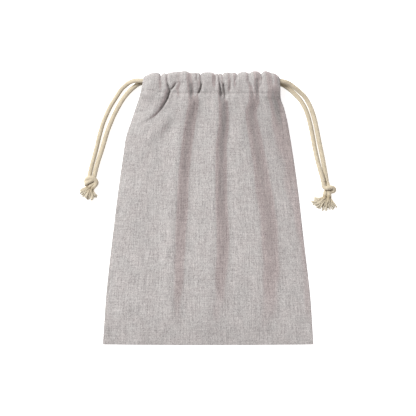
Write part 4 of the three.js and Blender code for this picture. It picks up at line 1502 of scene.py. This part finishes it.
GROUPS = {
    "pouch_stage": PouchStage,
    "pouch_cloth": PouchCloth,
    "pouch_cord": PouchCord,
    "pouch_tuft": PouchTuft,
    "pouch_stitch": PouchStitch,
}


# The steps that make the pouch

VIEW_MIDDLE = (0.0, 0.0001, 0.008)  # what the camera looks at, at the height of the front cloth
SENSOR = 36.0  # millimetres, as the camera counts it
FARTHEST = 20.0  # what the camera still sees
LAMP_PLACE = (-5.90, 5.20, 9.20)
LAMP_SIZE = 4.6
FILL_COLOUR = (1.0, 0.90, 0.925, 1.0)
FLOOR_SIZE = 6.0

# The tufts: how a cord's tail goes over into its yarns
TAIL_RADIUS = 0.0020  # of the disc on which a tail's yarns start
TAIL_INSIDE = 0.0012  # how far a yarn reaches back into the tail
TAIL_OUTSIDE = 0.0013  # how far it goes straight on,
TAIL_TURN = 0.0008  # and how far it has turned aside there
TAIL_CARRY = 0.0016  # how far the tail's own way still carries its yarns on
LEAN_SHARE = 0.8  # how much a yarn's side of the tail decides the way it points
LEAN_LIMIT = 1.15  # no yarn points further out than this share of the tuft's spread
YARN_SCATTER = 0.3  # how much chance decides the way of a yarn, and of a loose fibre
WISP_SCATTER = 0.6
SWAY = 0.10  # how far a yarn bends and curls sideways, as a share of its reach
LOWEST_TIP = 0.1  # the lowest tips' height, as a share of the highest ones'
YARN_STEPS = 6  # between two points of a yarn
YARN_POINTS = (  # share of the reach, shares of the bend and the curl, and how far it puffs up there
    (0.45, 1.0, 0.0, 0.0010),
    (0.78, 0.4, 0.5, 0.0007),
    (1.0, 0.0, 1.0, 0.0),
)
YARN_SIZES = (0.8, 1.15)  # how unevenly thick yarns and loose fibres are
WISP_SIZES = (0.7, 1.4)
TABLE_ROOM = 1.9  # of a yarn's middle over the table, as a share of its radius
TUFT_PAINTED_LIGHTNESS = (0.12, 0.9)  # painted shade: how pale the cotton is painted, dark at a yarn's start by the knot and pale at its tip

# The stitches
STITCH_END = 0.985  # share of the casing's width over which they run
STITCH_POINTS = 400
SLOPE_STEP = 0.0005  # over which the cloth's slope is taken
THREAD_LIFT = 0.12  # of a stitch's middle over the cloth, as a share of its thickness


class POUCH_OT_stage(bpy.types.Operator):
    """Makes the camera, the lamp, the even light around and the pale floor."""

    bl_idname = "pouch.stage"
    bl_label = "Stage"

    def execute(self, context):
        stage = context.scene.pouch_stage
        camera = bpy.data.objects.new("camera", bpy.data.cameras.new("camera"))
        camera.data.lens = stage.lens
        camera.data.sensor_width = SENSOR
        away = stage.view_width * stage.lens / SENSOR
        camera.location = Vector(VIEW_MIDDLE) + Vector((0, 0, away))
        camera.data.clip_end = FARTHEST
        light = bpy.data.lights.new("lamp", "AREA")
        light.shape = "DISK"
        light.size = LAMP_SIZE
        light.energy = stage.lamp_power
        lamp = bpy.data.objects.new("lamp", light)
        lamp.location = LAMP_PLACE
        lamp.rotation_euler = Vector(LAMP_PLACE).to_track_quat("Z", "Y").to_euler()
        for thing in (camera, lamp):
            context.scene.collection.objects.link(thing)
        context.scene.camera = camera
        world = bpy.data.worlds.new("studio")
        world.use_nodes = True
        background = world.node_tree.nodes["Background"].inputs
        background["Color"].default_value = FILL_COLOUR
        background["Strength"].default_value = stage.fill
        context.scene.world = world
        context.scene.view_settings.view_transform = "Standard"
        half = FLOOR_SIZE / 2
        corners = [(-half, -half, 0.0), (half, -half, 0.0), (half, half, 0.0), (-half, half, 0.0)]
        floor = new_piece("floor", plain_mesh("floor", corners, [(0, 1, 2, 3)]))
        floor.data.materials.append(floor_material(stage))
        return {"FINISHED"}


def plait(name, lines, cord, diameter, step=STRAND_STEP):
    """A piece of plaited cord along lines."""
    tree = shared("Plaited cord", plaited_tree)
    fibres = shared("Cotton fibres", fibre_group)
    material = shared(
        "cotton_cord", lambda: cord_material("cotton_cord", cord, fibres, FIBRE_SCALES["cord"])
    )
    inputs = {
        "Radius": diameter / 2, "Relief": cord.relief, "Strands": cord.strands,
        "Crossings per metre": cord.crossings, "Step": step, "Material": material,
    }
    return grow(new_piece(name, line_mesh(name, lines)), tree, **inputs)


def knot_line(side, panel):
    """One cord end's way through its knot, from just inside the strand that it belongs to."""
    route = np.array(ROUTES[f"cord_{panel}_{side}"])
    way = np.array(KNOTS[side]["ways"][panel]) + KNOTS[side]["at"]
    return smooth_line([mix(route[-2], route[-1], KNOT_START), *way], KNOT_STEPS)


class POUCH_OT_knots(bpy.types.Operator):
    """Makes the two overhand knots, each of the two cord ends of its side."""

    bl_idname = "pouch.knots"
    bl_label = "Knots"

    def execute(self, context):
        cord = context.scene.pouch_cord
        for side, knot in KNOTS.items():
            lines = [knot_line(side, panel) for panel in knot["ways"]]
            piece = plait(f"overhand_knot_{side}", lines, cord, cord.knot_diameter)
            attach(piece, BODY)
            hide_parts(f"knot_{side}")
        return {"FINISHED"}


def yarn_lines(tuft, tails, count, rng, scatter):
    """The middle lines of a tuft's yarns: out of a cord's tail, then apart like a brush and down to the
    table. Each starts at its own place in the tail, and a yarn on one side of the bunch leans that way."""
    heading = np.array([math.cos(tuft["heading"]), math.sin(tuft["heading"]), 0.0])
    across = np.array([-heading[1], heading[0], 0.0])
    middle = np.mean([tail for tail, _ in tails], axis=0)
    half = TAIL_RADIUS + max(abs(np.dot(tail - middle, across)) for tail, _ in tails)
    lines = []
    for i in range(count):
        tail, way = tails[i % len(tails)]
        far = TAIL_RADIUS * math.sqrt(rng.uniform(0, 1))
        turn = rng.uniform(0, 2 * math.pi)
        start = tail + across * far * math.cos(turn) + np.array([0.0, 0.0, far * math.sin(turn)])
        lean = LEAN_SHARE * np.dot(start - middle, across) / half + scatter * rng.uniform(-1, 1)
        lean = np.clip(lean, -LEAN_LIMIT, LEAN_LIMIT)
        angle = tuft["heading"] + tuft["spread"] * lean
        out = np.array([math.cos(angle), math.sin(angle), 0.0])
        side = np.array([-out[1], out[0], 0.0])
        reach = rng.uniform(*tuft["reach"]) * mix(1, tuft["outer"], min(1, lean * lean))
        bend, curl = rng.uniform(-SWAY, SWAY, 2) * reach
        tip = tuft["rise"] * rng.uniform(LOWEST_TIP, 1)
        line = [start - way * TAIL_INSIDE, start, start + way * TAIL_OUTSIDE + out * TAIL_TURN]
        for share, of_bend, of_curl, puff in YARN_POINTS:
            sideways = bend * of_bend + curl * of_curl
            point = start + way * TAIL_CARRY * (1 - share) + out * reach * share + side * sideways
            point[2] = mix(start[2], tip, share) + puff
            line.append(point)
        lines.append(smooth_line(line, YARN_STEPS))
    return lines


class POUCH_OT_tufts(bpy.types.Operator):
    """Makes the frayed cord ends below the knots."""

    bl_idname = "pouch.tufts"
    bl_label = "Frayed ends"

    def execute(self, context):
        props, cord = context.scene.pouch_tuft, context.scene.pouch_cord
        fibres = shared("Cotton fibres", fibre_group)
        material = cord_material("frayed_cotton", cord, fibres, FIBRE_SCALES["frayed"])
        tree = frayed_tree()
        for side, tuft in TUFTS.items():
            rng = np.random.default_rng(tuft["seed"])
            tails = []
            for panel in KNOTS[side]["ways"]:
                line = knot_line(side, panel)
                step = line[-1] - line[-2]
                tails.append((line[-1], step / np.linalg.norm(step)))
            yarns = yarn_lines(tuft, tails, props.yarns, rng, YARN_SCATTER)
            wisps = yarn_lines(tuft, tails, props.wisps, rng, WISP_SCATTER)
            radii = [props.yarn * rng.uniform(*YARN_SIZES) for _ in yarns]
            radii += [props.wisp * rng.uniform(*WISP_SIZES) for _ in wisps]
            points = np.array(yarns + wisps)
            count, size = points.shape[:2]
            thickness = np.repeat(radii, size)
            lowest = np.reshape(thickness, (count, size)) * TABLE_ROOM
            points[:, :, 2] = np.maximum(points[:, :, 2], lowest)
            # Painted shade: each yarn darker at its start by the knot and pale towards its tip
            groove = np.tile(np.linspace(*TUFT_PAINTED_LIGHTNESS, size), count)
            mesh = line_mesh(f"frayed_ends_{side}", list(points), thickness=thickness, groove=groove)
            piece = grow(new_piece(f"frayed_ends_{side}", mesh), tree, Material=material)
            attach(piece, BODY)
            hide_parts(f"tuft_{side}")
        return {"FINISHED"}


class POUCH_OT_cords(bpy.types.Operator):
    """Makes the two drawcords: their runs inside the casings and the four strands that come out."""

    bl_idname = "pouch.cords"
    bl_label = "Drawcords"

    def execute(self, context):
        cord = context.scene.pouch_cord
        for name, route in ROUTES.items():
            _, panel, part = name.split("_")
            inside = part == "inner"
            if inside:
                route = [ROUTES[f"cord_{panel}_left"][0], *route[1:-1], ROUTES[f"cord_{panel}_right"][0]]
            line = smooth_line(route)
            title = f"drawcord_{panel}_{'inside' if inside else part}"
            piece = plait(title, [line], cord, cord.diameter, HIDDEN_STEP if inside else STRAND_STEP)
            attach(piece, BODY)
            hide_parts(name)
        return {"FINISHED"}


class POUCH_OT_stitches(bpy.types.Operator):
    """Makes the row of stitches that closes each casing."""

    bl_idname = "pouch.stitches"
    bl_label = "Stitches"

    def execute(self, context):
        stitch, cloth = context.scene.pouch_stitch, context.scene.pouch_cloth
        tree = stitch_tree()
        material = thread_material(stitch, shared("Cotton fibres", fibre_group))
        for panel in (FRONT, BACK):
            side = np.linspace(-STITCH_END, STITCH_END, STITCH_POINTS)
            across = across_of(side, CASING_SEAM)
            up = column(STITCH_LINE, "up", across, "across")
            side = across / np.abs(across_of(np.sign(side), up))
            height = panel["height"](side, up)
            rise_across = np.gradient(height, across)
            above, below = panel["height"](side, up + SLOPE_STEP), panel["height"](side, up - SLOPE_STEP)
            rise_up = (above - below) / (2 * SLOPE_STEP)
            facing = np.stack([-rise_across, -rise_up, np.ones_like(across)], axis=1) * panel["facing"]
            facing /= np.linalg.norm(facing, axis=1)[:, None]
            line = np.stack([across, BOTTOM + up, height], axis=1)
            line = line + facing * (cloth.thickness / 2 + stitch.thread * THREAD_LIFT)
            inputs = {
                "Pitch": stitch.pitch, "Stitch length": stitch.length, "Thread": stitch.thread,
                "Material": material,
            }
            mesh = line_mesh(panel["stitches"], [line], facing=facing)
            piece = grow(new_piece(panel["stitches"], mesh), tree, **inputs)
            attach(piece, BODY)
        return {"FINISHED"}


def grid_faces(rows, columns):
    """The square faces between a sheet's points, which are counted along its rows."""
    corner = np.arange(rows * columns).reshape(rows, columns)
    faces = [corner[:-1, :-1], corner[:-1, 1:], corner[1:, 1:], corner[1:, :-1]]
    return np.stack(faces, axis=2).reshape(-1, 4)


class POUCH_OT_panels(bpy.types.Operator):
    """Makes the front and the back cloth, each with its casing folded to the inside."""

    bl_idname = "pouch.panels"
    bl_label = "Cloth"

    def execute(self, context):
        cloth = context.scene.pouch_cloth
        fibres = shared("Cotton fibres", fibre_group)
        material = cloth_material(cloth, shared("Plain weave", weave_group), fibres)
        for panel in (FRONT, BACK):
            points, places = panel_points(panel, cloth.thickness)
            faces = grid_faces(*points.shape[:2])[:, ::panel["facing"]]
            mesh = plain_mesh(panel["name"], points.reshape(-1, 3), faces, places.reshape(-1, 2))
            mesh.materials.append(material)
            # Painted shade: where the cloth falls away from the lamp, for the material's rosy tint
            store(mesh, "painted_lee_shade", painted_lee_shade_share(points).ravel())
            piece = new_piece(panel["name"], mesh)
            layer = piece.modifiers.new("Thickness", "SOLIDIFY")
            layer.thickness = cloth.thickness
            layer.offset = 0.0
            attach(piece, BODY)
            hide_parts(panel["stands_for"])
        return {"FINISHED"}


STEPS = (
    POUCH_OT_stage, POUCH_OT_knots, POUCH_OT_tufts, POUCH_OT_cords, POUCH_OT_stitches, POUCH_OT_panels,
)


class POUCH_PT_panel(bpy.types.Panel):
    """Lists the pouch's sizes and colours, and the steps that make it."""

    bl_idname = "POUCH_PT_panel"
    bl_label = "Drawstring pouch"
    bl_space_type = "VIEW_3D"
    bl_region_type = "UI"
    bl_category = "Pouch"

    def draw(self, context):
        for name, group in GROUPS.items():
            box = self.layout.box()
            box.label(text=name.replace("_", " ").capitalize())
            for title in group.__annotations__:
                box.prop(getattr(context.scene, name), title)
        for step in STEPS:
            self.layout.operator(step.bl_idname)


def register():
    for kind in (*GROUPS.values(), *STEPS, POUCH_PT_panel):
        bpy.utils.register_class(kind)
    for name, group in GROUPS.items():
        setattr(bpy.types.Scene, name, bpy.props.PointerProperty(type=group))


def unregister():
    for name in GROUPS:
        delattr(bpy.types.Scene, name)
    for kind in (POUCH_PT_panel, *reversed(STEPS), *GROUPS.values()):
        bpy.utils.unregister_class(kind)


def main():
    register()
    bpy.ops.pouch.stage()
    bpy.ops.pouch.knots()
    bpy.ops.pouch.tufts()
    bpy.ops.pouch.cords()
    bpy.ops.pouch.stitches()
    bpy.ops.pouch.panels()


if __name__ == "__main__":
    main()
